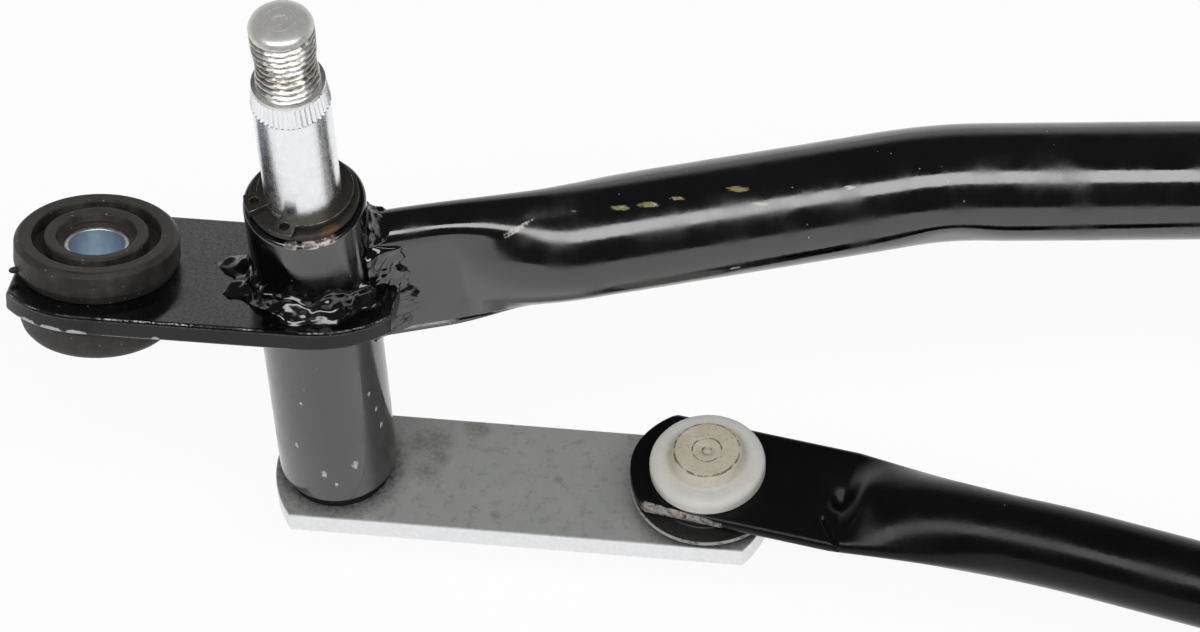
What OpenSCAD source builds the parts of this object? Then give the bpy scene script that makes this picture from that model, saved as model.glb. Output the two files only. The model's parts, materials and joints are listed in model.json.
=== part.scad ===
// Wiper linkage: a bent tube carries two pivot housings and a motor plate, and each
// spindle is turned by its own crank and drive link. X runs along the line of the two
// spindles, Z runs up along them, and the origin is the wiper arm's seat on the left one.

/* [Spindles] */
// Distance between the two spindle axes
spindle_gap = 540; // [460:1:680]
// Diameter of a spindle
spindle_d = 12; // [10:0.5:14]
// Height of the wiper arm's seat above the pivot housing
spindle_reach = 28; // [22:0.5:40]
// Diameter of the thread for the wiper arm's nut
thread_d = 10; // [8:0.5:10.5]
// Length of that thread
thread_l = 11.6; // [8:0.2:20]
// Height of the domed tip above the thread
tip_h = 2.4; // [1:0.2:4]
// Diameter of the centre drilling in the tip
drilling_d = 3.6; // [2:0.2:5]
// Height of the knurled cone below the arm's seat
knurl_h = 4.4; // [3:0.2:7]
// How far the knurl stands out from the spindle
knurl_proud = 0.2; // [0.1:0.05:0.4]
// Slope of the knurled cone, in degrees
knurl_slope = 7; // [3:0.5:8]
// Diameter of the spigot that is riveted into the crank
spigot_d = 9; // [7:0.5:9.5]
// Height of a riveted head
rivet_h = 1.5; // [0.8:0.1:2.5]
// How far a riveted head reaches past its hole
rivet_lip = 1.8; // [1:0.1:2.5]

/* [Pivot housings] */
// Length of a pivot housing
housing_l = 65.5; // [55:0.5:85]
// Wall of a pivot housing round its bushes
housing_wall = 2; // [1.5:0.1:3]
// Chamfer on the housing's upper rim
rim_chamfer = 0.8; // [0.4:0.1:1.2]
// Wall of a bearing bush
bush_wall = 1.5; // [1:0.1:2]
// Length of a bearing bush
bush_l = 18; // [12:0.5:22]
// Depth of the upper bush below the rim, where the shaft seal sits
seal_seat = 3; // [2.5:0.25:5]
// Height of the rubber shaft seal
shaft_seal_h = 2; // [1.5:0.1:2.4]
// Thickness of the washer under the circlip
washer_t = 1; // [0.6:0.1:1.6]
// How far a washer reaches past the spindle
washer_lip = 2.6; // [2:0.1:3]
// Thickness of the circlip
clip_t = 1.2; // [0.8:0.1:1.6]
// Depth of the circlip's groove in the spindle
groove_depth = 0.5; // [0.3:0.05:0.8]
// Mean radial width of the circlip
clip_w = 2; // [1.4:0.1:2.4]
// How much the circlip thickens towards its back
clip_offset = 0.45; // [0.2:0.05:0.6]
// Diameter of a circlip lug
lug_d = 3.6; // [3:0.1:4]
// Diameter of the plier hole in a lug
lug_hole_d = 1.5; // [1:0.1:1.8]
// Angle between a lug and the middle of the circlip's gap
lug_angle = 27.5; // [24:0.5:32]
// Heading of the circlip's gap round the left spindle
clip_heading = -136; // [-180:1:180]

/* [Mount plates] */
// Thickness of the mount plates and the motor plate
plate_t = 3.3; // [2.5:0.1:4.5]
// Radius of a mount plate's rounded flanks
plate_r = 16.2; // [15:0.1:20]
// Distance from the spindle to the grommet
grommet_arm = 34.6; // [31:0.2:45]
// Reach of the clipped end past the grommet's centre
plate_nose = 12.5; // [11:0.1:15]
// Reach of the other clipped end past the spindle
plate_heel = 13.5; // [12:0.1:15]
// Depth of the mount plate below the housing's rim
plate_drop = 19.6; // [16:0.1:26]
// Tilt of the mount plate away from square to the spindle, in degrees
plate_tilt = 20.1; // [10:0.1:25]
// Lean of the mount plate along the line of the spindles, in degrees
plate_lean = 2.6; // [0:0.1:6]
// Swing of the mount plate behind the line of the spindles, in degrees
plate_swing = 5.6; // [0:0.1:12]
// Leg of a weld fillet
weld_leg = 2.6; // [1.5:0.1:3.5]

/* [Grommets] */
// Bore of the steel sleeve for the mounting bolt
sleeve_bore_d = 8.9; // [7:0.1:10]
// Wall of the steel sleeve
sleeve_wall = 0.8; // [0.6:0.1:2]
// Depth of the sleeve's ends below the rubber
sleeve_recess = 1.3; // [0.5:0.1:2]
// Rubber between the sleeve and the plate's hole
waist_wall = 3.3; // [2.5:0.1:4]
// Rubber round the sleeve inside the ring groove
core_wall = 3; // [2.6:0.1:4]
// Width of the raised lip at the edge of that core
core_lip_w = 1.9; // [1:0.1:2.2]
// Width of the ring groove in the upper flange
ring_groove_w = 1.9; // [1:0.1:2.5]
// Depth of the ring groove
ring_groove_depth = 2.6; // [1:0.1:3.5]
// Width of the rim outside the ring groove
flange_rim_w = 3; // [2:0.1:4]
// Height of the upper flange
flange_h = 5; // [4:0.1:7]
// Rounding of the upper flange's edge
flange_round = 1.6; // [0.6:0.1:1.8]
// How far the lower flange reaches past the waist
foot_lip = 4.3; // [2.5:0.1:5]
// Height of the lower flange
foot_h = 7.6; // [5:0.1:9]
// Rounding of the lower flange's edge
foot_round = 2.2; // [0.8:0.1:2.6]

/* [Frame tube] */
// Diameter of the frame tube
tube_d = 18.7; // [17:0.1:22]
// Wall of the frame tube
tube_wall = 1.5; // [1:0.1:2.5]
// Depth of the tube's axis below the housing's rim
tube_drop = 20.4; // [17:0.1:24]
// Angle of the tube's end runs to the line of the spindles
tube_splay = 11.2; // [5:0.1:16]
// Distance from a spindle to the tube's bend
tube_run = 99.5; // [85:0.5:130]
// Radius of the tube's bends
tube_bend_r = 80; // [60:1:140]
// Thickness of the tube's ends, pressed flat
tab_t = 7.2; // [6:0.1:9]
// Rounding along the edges of a pressed end
tab_edge_r = 2.8; // [1.5:0.1:2.9]
// Distance from a spindle to where the flat ends
tab_crease = 23; // [20:0.5:28]
// Distance from a spindle to where the tube is round again
tab_round = 41; // [34:0.5:50]

/* [Motor plate] */
// Distance of the motor's axis in front of the line of the spindles
motor_setback = 35; // [33:0.5:50]
// Diameter of the hole for the motor's boss
boss_hole_d = 32; // [24:0.5:40]
// Diameter of the motor's bolt circle
bolt_circle_d = 70; // [60:0.5:74]
// Number of motor bolts
bolt_count = 3; // [3:1:4]
// Diameter of a motor bolt's hole
bolt_hole_d = 6.6; // [5:0.1:8]
// Metal round a motor bolt's hole
bolt_margin = 8; // [6:0.5:12]
// Rim of the motor's raised seat round the bolt holes
seat_rim = 2; // [1:0.25:2.5]
// Height of the motor's raised seat
seat_h = 0.8; // [0.4:0.1:1.5]
// Width of the motor plate along the tube
motor_plate_w = 104; // [90:1:130]
// Width of the flange behind the tube
rear_flange_w = 8; // [5:0.5:14]
// Distance of the third grommet in front of the line of the spindles
front_mount_reach = 98; // [94:0.5:120]
// Length of a weld along the tube
saddle_weld_l = 30; // [15:1:40]

/* [Cranks] */
// Distance from the spindle to the ball
crank_l = 60.8; // [50:0.2:75]
// Width of a crank
crank_w = 22; // [18:0.5:26]
// Thickness of a crank
crank_t = 4; // [3:0.25:5]
// Gap between the housing and the crank, filled by the thrust washer
crank_gap = 2.4; // [1.6:0.1:4]
// Radius of a crank's rounded ends
crank_end_r = 18; // [14:0.5:30]
// How far a crank reaches past the axes of its spindle and its ball
crank_overhang = 10.4; // [9:0.2:13]
// Heading of the crank at rest, towards the front, in degrees
crank_rest = 6; // [0:0.5:40]

/* [Ball joints] */
// Diameter of the ball
ball_d = 10; // [9:0.25:12]
// Height of the ball's lowest point above the crank
ball_foot = 0.6; // [0.4:0.1:1.5]
// Diameter of the ball stud's neck
neck_d = 6.4; // [5:0.2:7]
// Diameter of the ball stud's riveted shank
shank_d = 7; // [5.5:0.25:8]
// Wall of the nylon socket round the ball
socket_wall = 1.9; // [1.5:0.1:2.5]
// Wall of the socket above the ball
socket_roof = 1.25; // [0.8:0.05:2]
// How far the socket's flange reaches past its barrel
socket_lip = 2.4; // [1.6:0.1:3]
// Height of the socket's flange
socket_flange_h = 2.8; // [2:0.1:3.5]
// Rounding of the flange's edge
socket_round = 0.7; // [0.3:0.1:0.9]
// Radius of the raised centre of the socket
crown_r = 5.5; // [5:0.05:6.4]
// Radius of the moulded dimple in the crown
dimple_r = 2.35; // [1.5:0.05:3]
// Depth of that dimple
dimple_depth = 0.4; // [0.2:0.05:0.6]
// How far the socket's snap ring reaches under the link
snap_lip = 0.6; // [0.3:0.1:1]
// Diameter of the rubber dust seal
dust_seal_d = 25.2; // [22:0.2:28]
// Height of the dust seal's top above the crank
dust_seal_h = 3.4; // [2.8:0.1:3.8]
// Thickness of the dust seal's free lip
dust_lip_t = 0.9; // [0.5:0.1:1.2]
// Wall of the dust seal's collar
dust_collar_wall = 1.6; // [1:0.1:2.5]

/* [Drive links] */
// Distance between the two balls of a drive link
link_span = 262; // [220:1:320]
// Diameter of a link's tube
link_d = 13.4; // [12:0.2:15]
// Wall of a link's tube
link_wall = 1.2; // [0.8:0.1:1.8]
// Thickness of a link's ends, pressed flat
link_flat_t = 2.4; // [2:0.1:3.2]
// Rounding along the edges of a link's flat ends
link_edge_r = 0.9; // [0.4:0.1:0.9]
// Radius of a link's rounded ends
link_end_r = 12.8; // [11.4:0.2:18]
// How far a link reaches past its ball
link_overhang = 12.6; // [10.8:0.2:14]
// Distance from the ball to where the flat ends
link_crease = 23.5; // [20:0.5:30]
// Distance from the ball to where the tube is round again
link_round = 50; // [40:0.5:52]
// Angle of a link's end runs to its middle run
link_bow = 3.5; // [1:0.25:4.5]
// Distance from the ball to a link's bend
link_run = 60; // [59:0.5:80]
// Radius of a link's bends
link_bend_r = 240; // [150:5:300]
// Heading of the link at rest, towards the front, in degrees
link_rest = 18.7; // [5:0.1:45]

/* [Fits] */
// Radial clearance of a spindle in its bushes
running_gap = 0.04; // [0.02:0.01:0.08]
// Radial clearance of a ball in its socket
ball_gap = 0.06; // [0.03:0.01:0.1]
// Clearance round pressed, riveted and welded pieces
press_gap = 0.01; // [0.005:0.005:0.02]
// End play of a spindle in its housing, and of a seal on its crank
end_play = 0.15; // [0.1:0.05:0.3]
// Clearance of the socket's mouth round the ball stud's neck
mouth_gap = 0.4; // [0.3:0.05:0.6]

/* [Hidden] */
$fn = 96;
hull_fn = 32;
// Thickness of the slices that a hull joins
slice = 0.02;
// How much thicker a bend is all round than its runs, and how far they lap into it
hair = 0.08;
lap = 1;
// Reach of a cut past a face
cut = 1;

gloss_black = [0.06, 0.06, 0.065];
satin_black = [0.1, 0.1, 0.105];
rubber_black = [0.15, 0.15, 0.16];
spring_black = [0.2, 0.19, 0.18];
zinc_grey = [0.72, 0.74, 0.76];
steel_grey = [0.62, 0.63, 0.65];
sleeve_blue = [0.66, 0.74, 0.82];
nylon_white = [0.86, 0.85, 0.81];
bronze = [0.66, 0.5, 0.3];

// Levels along the spindle, counted from the wiper arm's seat
housing_top = -spindle_reach;
housing_bottom = housing_top - housing_l;
crank_top = housing_bottom - crank_gap;
crank_bottom = crank_top - crank_t;
crank_middle = (crank_top + crank_bottom) / 2;
tube_z = housing_top - tube_drop;
plate_z = housing_top - plate_drop;
washer_z = housing_top + end_play;
clip_z = washer_z + washer_t;

// Round sizes of the pivots
knurl_d = spindle_d + 2 * knurl_proud;
knurl_top_d = knurl_d - 2 * knurl_h * tan(knurl_slope);
bush_bore_d = spindle_d + 2 * running_gap;
bush_d = bush_bore_d + 2 * bush_wall;
housing_bore_d = bush_d + 2 * press_gap;
housing_d = housing_bore_d + 2 * housing_wall;
tip_sphere_r = (pow(thread_d / 2, 2) + pow(tip_h, 2)) / (2 * tip_h);
groove_d = spindle_d - 2 * groove_depth;
clip_bore_d = groove_d + 2 * press_gap;
clip_d = clip_bore_d + 2 * clip_w;
lug_reach = clip_bore_d / 2 + lug_d / 2 + (clip_w - clip_offset) / 4;

// Grommet radii, from the bolt outwards
sleeve_r = sleeve_bore_d / 2 + sleeve_wall;
waist_r = sleeve_r + waist_wall;
core_r = sleeve_r + core_wall;
flange_r = core_r + ring_groove_w + flange_rim_w;
foot_r = waist_r + foot_lip;
foot_z = -plate_t - foot_h;

// Frame tube and motor plate
tube_offset = tube_run * sin(tube_splay);
saddle_r = tube_d / 2 + press_gap;
saddle_back = tube_offset + saddle_r + plate_t + rear_flange_w;
saddle_front = tube_offset - saddle_r - plate_t;
bolt_pad_r = bolt_circle_d / 2 + bolt_hole_d / 2 + bolt_margin;
seat_r = bolt_circle_d / 2 + bolt_hole_d / 2 + seat_rim;

// Ball joints, counted from the crank's upper face
ball_z = ball_foot + ball_d / 2;
link_lift = ball_z - link_flat_t / 2;
link_top = ball_z + link_flat_t / 2;
cup_r = ball_d / 2 + ball_gap;
barrel_r = cup_r + socket_wall;
flange_socket_r = barrel_r + socket_lip;
flange_top = link_top + socket_flange_h;
crown_top = ball_z + cup_r + socket_roof;
crown_fillet = crown_top - flange_top;
snap_r = barrel_r + snap_lip;
mouth_r = neck_d / 2 + mouth_gap;
link_reach = link_overhang + cut;

// Width of a tube that is pressed flat to a section with rounded edges: its girth stays the same
function pressed_width(d, t, edge_r) = 4 * edge_r - t + PI * (d / 2 - edge_r);

// Lays out what is drawn for the left pivot again for the right one
module on_right() {
  translate([spindle_gap, 0, 0]) mirror([1, 0, 0]) children();
}

// Turns a ball joint over, so that it lies under its crank
module below_crank() {
  translate([0, 0, 2 * crank_middle]) mirror([0, 0, 1]) children();
}

// Frame of a mount plate: its upper face is the plane z = 0 and its grommet lies along -x
module on_plate() {
  translate([0, 0, plate_z]) rotate([-plate_tilt, plate_lean, 0]) rotate([0, 0, -plate_swing])
    children();
}

// Frame of a crank: the spindle is at the origin and the ball lies along x
module on_crank() {
  translate([0, 0, crank_top]) rotate([0, 0, -crank_rest]) children();
}

// Frame of a drive link: the crank's ball is at the origin and the motor's ball lies along x
module on_link() {
  on_crank() translate([crank_l, 0, 0]) rotate([0, 0, crank_rest - link_rest]) children();
}

// The motor's end of a drive link
module at_motor_end() {
  translate([link_span, 0, 0]) mirror([1, 0, 0]) children();
}

module along_x() {
  rotate([0, 90, 0]) children();
}

// Section of a tube that is pressed flat to the thickness t, with rounded edges
module pressed_section(d, t, edge_r) {
  w = pressed_width(d, t, edge_r);
  polygon([for (step = [0.5:hull_fn]) let (a = step * 360 / hull_fn)
    [edge_r * cos(a) + sign(cos(a)) * (w / 2 - edge_r),
     edge_r * sin(a) + sign(sin(a)) * (t / 2 - edge_r)]]);
}

// Round bar along a bowed route: two sloping end runs and a middle run lap into two bends,
// which are a hair thicker
module bowed_bar(d, span, run, splay, bend_r, start) {
  tangent = bend_r * tan(splay / 2);
  knee_x = run * cos(splay) + tangent;
  knee_y = run * sin(splay);
  for (side = [0, 1]) translate([side * span, 0, 0]) mirror([side, 0, 0]) {
    rotate([0, 0, splay]) translate([start, 0, 0]) along_x()
      cylinder(d = d, h = run - tangent - start + lap);
    translate([knee_x, knee_y - bend_r, 0]) rotate([0, 0, 90])
      rotate_extrude(angle = splay) translate([bend_r, 0]) circle(d = d + 2 * hair);
  }
  translate([knee_x - lap, knee_y, 0]) along_x() cylinder(d = d, h = span - 2 * (knee_x - lap));
}

// End of a tube pressed flat from one distance to the crease, then opening to the round
module pressed_end(d, t, edge_r, from, crease, round_at) {
  translate([from, 0, 0]) along_x() linear_extrude(crease + slice - from)
    pressed_section(d, t, edge_r);
  hull() {
    translate([crease, 0, 0]) along_x() linear_extrude(slice)
      pressed_section(d, t, edge_r);
    translate([round_at, 0, 0]) along_x() cylinder(d = d, h = slice, $fn = 2 * hull_fn);
  }
}

// Outline of a mount plate: a stadium with both ends clipped straight
module plate_outline() {
  intersection() {
    union() {
      circle(r = plate_r);
      translate([-grommet_arm, 0]) circle(r = plate_r);
      translate([-grommet_arm, -plate_r]) square([grommet_arm, 2 * plate_r]);
    }
    translate([-grommet_arm - plate_nose, -plate_r])
      square([plate_nose + grommet_arm + plate_heel, 2 * plate_r]);
  }
}

// Space that a mount plate takes, without its holes
module plate_slab(gap) {
  on_plate() translate([0, 0, -plate_t - gap]) linear_extrude(plate_t + 2 * gap)
    plate_outline();
}

// Space that a pivot housing takes
module housing_space(gap) {
  translate([0, 0, housing_bottom]) cylinder(d = housing_d + 2 * gap, h = housing_l);
}

// Flat end of the frame tube, cut to fit round the left housing and its mount plate
module tube_tab() {
  difference() {
    translate([0, 0, tube_z]) rotate([0, 0, tube_splay])
      pressed_end(tube_d, tab_t, tab_edge_r, 0, tab_crease, tab_round);
    housing_space(press_gap);
    plate_slab(press_gap);
  }
}

module frame_tube() {
  color(gloss_black) {
    tube_tab();
    on_right() tube_tab();
    difference() {
      translate([0, 0, tube_z])
        bowed_bar(tube_d, spindle_gap, tube_run, tube_splay, tube_bend_r, tab_round);
      translate([0, 0, tube_z])
        bowed_bar(tube_d - 2 * tube_wall, spindle_gap, tube_run, tube_splay, tube_bend_r,
                  tab_round + tube_wall);
    }
  }
}

// Cross-section of the motor plate: a flat, a half-round saddle for the tube and a flange
module motor_plate_section() {
  translate([-front_mount_reach - plate_r, -plate_t])
    square([front_mount_reach + plate_r + saddle_front + plate_t, plate_t]);
  translate([tube_offset, 0]) difference() {
    circle(r = saddle_r + plate_t);
    circle(r = saddle_r);
    translate([-saddle_r - plate_t - cut, 0])
      square([2 * (saddle_r + plate_t + cut), saddle_r + plate_t + cut]);
  }
  translate([saddle_back - rear_flange_w - plate_t, -plate_t])
    square([rear_flange_w + plate_t, plate_t]);
}

// Plan of the motor plate: the motor's pad blends into the saddle and into the front arm
module motor_plate_plan() {
  hull() {
    translate([0, -motor_setback]) circle(r = bolt_pad_r, $fn = 2 * hull_fn);
    translate([-motor_plate_w / 2, saddle_front])
      square([motor_plate_w, saddle_back - saddle_front]);
  }
  translate([0, -front_mount_reach]) circle(r = plate_r);
  translate([-plate_r, -front_mount_reach]) square([2 * plate_r, front_mount_reach - motor_setback]);
}

// The plate, with the motor's seat pressed up out of it
module motor_plate() {
  color(gloss_black) translate([spindle_gap / 2, 0, tube_z]) difference() {
    union() {
      intersection() {
        translate([-motor_plate_w / 2, 0, 0]) rotate([90, 0, 90])
          linear_extrude(motor_plate_w) motor_plate_section();
        translate([0, 0, -tube_d]) linear_extrude(2 * tube_d) motor_plate_plan();
      }
      translate([0, -motor_setback, -plate_t / 2]) cylinder(r = seat_r, h = plate_t / 2 + seat_h);
    }
    translate([0, -motor_setback, -plate_t - cut]) {
      cylinder(r = seat_r - seat_h, h = cut + seat_h);
      cylinder(d = boss_hole_d, h = plate_t + seat_h + 2 * cut);
      for (bolt = [1:bolt_count]) rotate([0, 0, bolt * 360 / bolt_count])
        translate([0, bolt_circle_d / 2, 0]) cylinder(d = bolt_hole_d, h = plate_t + seat_h + 2 * cut);
    }
    translate([0, -front_mount_reach, -plate_t - cut])
      cylinder(r = waist_r + press_gap, h = plate_t + 2 * cut);
  }
}

// Fillets that hold the tube in the motor plate's saddle
module saddle_welds() {
  color(gloss_black) translate([spindle_gap / 2, tube_offset, tube_z])
    for (side = [0, 1]) mirror([0, side, 0])
      translate([-saddle_weld_l / 2, 0, 0]) rotate([90, 0, 90]) linear_extrude(saddle_weld_l)
        difference() {
          polygon([[tube_d / 2 - weld_leg, 0], [tube_d / 2 + weld_leg, 0],
                   [tube_d / 2 - weld_leg, 2 * weld_leg]]);
          circle(r = saddle_r);
        }
}

module housing() {
  color(gloss_black) difference() {
    union() {
      translate([0, 0, housing_bottom]) cylinder(d = housing_d, h = housing_l - rim_chamfer);
      translate([0, 0, housing_top - rim_chamfer])
        cylinder(d1 = housing_d, d2 = housing_d - 2 * rim_chamfer, h = rim_chamfer);
    }
    translate([0, 0, housing_bottom - cut]) cylinder(d = housing_bore_d, h = housing_l + 2 * cut);
  }
}

module mount_plate() {
  color(gloss_black) difference() {
    plate_slab(0);
    housing_space(press_gap);
    on_plate() translate([-grommet_arm, 0, -plate_t - cut])
      cylinder(r = waist_r + press_gap, h = plate_t + 2 * cut);
  }
}

// Weld fillets round the housing, above and below its mount plate, that stop at the tube's flat end
module housing_welds() {
  stop = tab_t + 2 * press_gap;
  color(gloss_black) difference() {
    on_plate() for (face = [0, 1]) translate([0, 0, -face * plate_t]) mirror([0, 0, face])
      cylinder(r1 = housing_d / 2 + weld_leg, r2 = housing_d / 2 - weld_leg, h = 2 * weld_leg);
    housing_space(press_gap);
    translate([0, 0, tube_z]) rotate([0, 0, tube_splay]) translate([0, -stop / 2, -tube_d])
      cube([tab_crease, stop, 2 * tube_d]);
  }
}

// Rectangle with one rounded corner, at its outer upper edge
module rounded_step(w, h, edge_r) {
  square([w - edge_r, h]);
  square([w, h - edge_r]);
  translate([w - edge_r, h - edge_r]) circle(r = edge_r);
}

module grommet_section() {
  hole_r = sleeve_r + press_gap;
  difference() {
    union() {
      rounded_step(flange_r, flange_h, flange_round);
      translate([0, foot_z]) square([waist_r, flange_h - foot_z - flange_round]);
      translate([0, -plate_t]) mirror([0, 1]) rounded_step(foot_r, foot_h, foot_round);
    }
    translate([core_r, flange_h - ring_groove_depth]) square([ring_groove_w, ring_groove_depth + cut]);
    translate([0, flange_h - sleeve_recess]) square([core_r - core_lip_w, sleeve_recess + cut]);
    translate([-flange_r, foot_z - cut]) square([flange_r + hole_r, flange_h - foot_z + 2 * cut]);
  }
}

// Rubber grommet seated in its plate, whose upper face is the plane z = 0
module grommet() {
  color(rubber_black) rotate_extrude() grommet_section();
}

// Steel sleeve that keeps the mounting bolt from crushing the rubber
module sleeve() {
  low = foot_z + sleeve_recess;
  length = flange_h - sleeve_recess - low;
  color(sleeve_blue) translate([0, 0, low]) difference() {
    cylinder(r = sleeve_r, h = length);
    translate([0, 0, -cut]) cylinder(d = sleeve_bore_d, h = length + 2 * cut);
  }
}

module in_mount_plate() {
  on_plate() translate([-grommet_arm, 0, 0]) children();
}

module in_motor_plate() {
  translate([spindle_gap / 2, -front_mount_reach, tube_z]) children();
}

module ring(d, bore_d, h) {
  difference() {
    cylinder(d = d, h = h);
    translate([0, 0, -cut]) cylinder(d = bore_d, h = h + 2 * cut);
  }
}

module upper_bush() {
  color(bronze) translate([0, 0, housing_top - seal_seat - bush_l]) ring(bush_d, bush_bore_d, bush_l);
}

module lower_bush() {
  color(bronze) translate([0, 0, housing_bottom]) ring(bush_d, bush_bore_d, bush_l);
}

module shaft_seal() {
  color(rubber_black) translate([0, 0, housing_top - seal_seat])
    ring(bush_d, bush_bore_d, shaft_seal_h);
}

module spindle() {
  color(steel_grey) difference() {
    union() {
      intersection() {
        cylinder(d = thread_d, h = thread_l + tip_h);
        translate([0, 0, thread_l + tip_h - tip_sphere_r])
          union() {
            sphere(r = tip_sphere_r);
            translate([0, 0, -thread_l - tip_h]) cylinder(d = thread_d, h = tip_sphere_r + thread_l);
          }
      }
      translate([0, 0, -knurl_h]) cylinder(d1 = knurl_d, d2 = knurl_top_d, h = knurl_h);
      translate([0, 0, crank_top]) cylinder(d = spindle_d, h = -knurl_h - crank_top);
      translate([0, 0, crank_bottom - rivet_h]) cylinder(d = spigot_d, h = crank_t + rivet_h);
      rivet_head(spigot_d);
    }
    translate([0, 0, clip_z]) ring(spindle_d + cut, groove_d, clip_t);
    translate([0, 0, thread_l + tip_h - drilling_d / 2])
      cylinder(d1 = 0, d2 = drilling_d, h = drilling_d / 2);
  }
}

// Head that is riveted over on the crank's lower face
module rivet_head(hole_d) {
  translate([0, 0, crank_bottom - rivet_h])
    cylinder(d1 = hole_d, d2 = hole_d + 2 * rivet_lip, h = rivet_h);
}

module top_washer() {
  color(zinc_grey) translate([0, 0, washer_z])
    ring(spindle_d + 2 * washer_lip, spindle_d + 2 * press_gap, washer_t);
}

module thrust_washer() {
  color(nylon_white) translate([0, 0, crank_top])
    ring(spindle_d + 2 * washer_lip, spindle_d + 2 * press_gap, crank_gap - end_play);
}

// Outer retaining ring: it thins towards its gap and ends in two drilled lugs
module circlip() {
  color(spring_black) translate([0, 0, clip_z]) rotate([0, 0, clip_heading]) linear_extrude(clip_t)
    difference() {
      union() {
        difference() {
          translate([-clip_offset, 0]) circle(d = clip_d);
          polygon([[0, 0], [clip_d, -clip_d * tan(lug_angle)], [clip_d, clip_d * tan(lug_angle)]]);
        }
        for (side = [-1, 1]) rotate(side * lug_angle) translate([lug_reach, 0]) circle(d = lug_d);
      }
      circle(d = clip_bore_d);
      for (side = [-1, 1]) rotate(side * lug_angle) translate([lug_reach, 0]) circle(d = lug_hole_d);
    }
}

// Bar with arc ends that meet its straight sides at corners
module arc_ended_plan(length, w, end_r, overhang) {
  centre = end_r - overhang;
  intersection() {
    union() {
      translate([centre, 0]) circle(r = end_r);
      translate([length - centre, 0]) circle(r = end_r);
      translate([centre, -end_r]) square([length - 2 * centre, 2 * end_r]);
    }
    translate([-overhang, -w / 2]) square([length + 2 * overhang, w]);
  }
}

module crank() {
  color(zinc_grey) on_crank() translate([0, 0, -crank_t]) difference() {
    linear_extrude(crank_t) arc_ended_plan(crank_l, crank_w, crank_end_r, crank_overhang);
    translate([0, 0, -cut]) cylinder(d = spigot_d + 2 * press_gap, h = crank_t + 2 * cut);
    translate([crank_l, 0, -cut]) cylinder(d = shank_d + 2 * press_gap, h = crank_t + 2 * cut);
  }
}

module ball_stud() {
  color(steel_grey) on_crank() translate([crank_l, 0, 0]) {
    translate([0, 0, ball_z]) sphere(d = ball_d);
    cylinder(d = neck_d, h = ball_z);
    translate([0, 0, -crank_t - rivet_h]) cylinder(d = shank_d, h = crank_t + rivet_h);
    translate([0, 0, -crank_top]) rivet_head(shank_d);
  }
}

// One end of a drive link, with a hole for the socket's barrel
module link_end() {
  difference() {
    intersection() {
      translate([0, 0, ball_z]) rotate([0, 0, link_bow]) rotate([90, 0, 0])
        pressed_end(link_d, link_flat_t, link_edge_r, -link_reach, link_crease, link_round);
      translate([0, 0, ball_z - link_d]) linear_extrude(2 * link_d) rotate(link_bow)
        arc_ended_plan(2 * link_round, 2 * link_d, link_end_r, link_overhang);
    }
    translate([0, 0, ball_z - link_flat_t]) cylinder(r = barrel_r + press_gap, h = 2 * link_flat_t);
  }
}

module link_rod() {
  color(satin_black) on_link() {
    link_end();
    at_motor_end() link_end();
    translate([0, 0, ball_z]) difference() {
      bowed_bar(link_d, link_span, link_run, link_bow, link_bend_r, link_round);
      bowed_bar(link_d - 2 * link_wall, link_span, link_run, link_bow, link_bend_r,
                link_round + link_wall);
    }
  }
}

module socket_section() {
  difference() {
    union() {
      translate([0, dust_seal_h]) square([snap_r, link_lift - dust_seal_h]);
      translate([0, link_lift]) square([barrel_r, link_flat_t]);
      translate([0, link_top]) square([flange_socket_r - socket_round, socket_flange_h]);
      translate([0, link_top]) square([flange_socket_r, socket_flange_h - socket_round]);
      translate([flange_socket_r - socket_round, flange_top - socket_round]) circle(r = socket_round);
      translate([0, flange_top]) square([crown_r, crown_fillet]);
      difference() {
        translate([0, flange_top]) square([crown_r + crown_fillet / 2, crown_fillet / 2]);
        translate([crown_r + crown_fillet / 2, flange_top + crown_fillet / 2])
          circle(r = crown_fillet / 2);
      }
    }
    translate([0, ball_z]) circle(r = cup_r);
    translate([-cut, 0]) square([mouth_r + cut, ball_z]);
    translate([-cut, crown_top - dimple_depth]) square([dimple_r + cut, dimple_depth + cut]);
    translate([-flange_socket_r, 0]) square([flange_socket_r, crown_top + cut]);
  }
}

// Nylon cup snapped into the link's flat end
module ball_socket() {
  color(nylon_white) rotate_extrude() socket_section();
}

// Rubber ring clipped round the socket's snap ring: its foot wipes the crank's face and a
// thin lip stands out above it
module dust_seal() {
  foot = ball_d / 2 + mouth_gap;
  inner = snap_r + press_gap;
  outer = inner + dust_collar_wall;
  color(rubber_black) rotate_extrude() {
    translate([foot, end_play]) square([outer - foot, dust_seal_h - end_play]);
    translate([foot, dust_seal_h - dust_lip_t]) square([dust_seal_d / 2 - foot, dust_lip_t]);
    translate([inner, end_play]) square([dust_collar_wall, link_lift - end_play]);
  }
}

frame_tube();
motor_plate();
saddle_welds();
in_motor_plate() grommet();  // front_grommet
in_motor_plate() sleeve();  // front_sleeve
housing();  // left_housing
mount_plate();  // left_mount_plate
housing_welds();  // left_welds
in_mount_plate() grommet();  // left_grommet
in_mount_plate() sleeve();  // left_sleeve
upper_bush();  // left_upper_bush
lower_bush();  // left_lower_bush
shaft_seal();  // left_shaft_seal
on_right() housing();  // right_housing
on_right() mount_plate();  // right_mount_plate
on_right() housing_welds();  // right_welds
on_right() in_mount_plate() grommet();  // right_grommet
on_right() in_mount_plate() sleeve();  // right_sleeve
on_right() upper_bush();  // right_upper_bush
on_right() lower_bush();  // right_lower_bush
on_right() shaft_seal();  // right_shaft_seal
spindle();  // left_spindle
top_washer();  // left_top_washer
circlip();  // left_circlip
thrust_washer();  // left_thrust_washer
crank();  // left_crank
ball_stud();  // left_ball_stud
on_right() spindle();  // right_spindle
on_right() top_washer();  // right_top_washer
on_right() circlip();  // right_circlip
on_right() thrust_washer();  // right_thrust_washer
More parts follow.
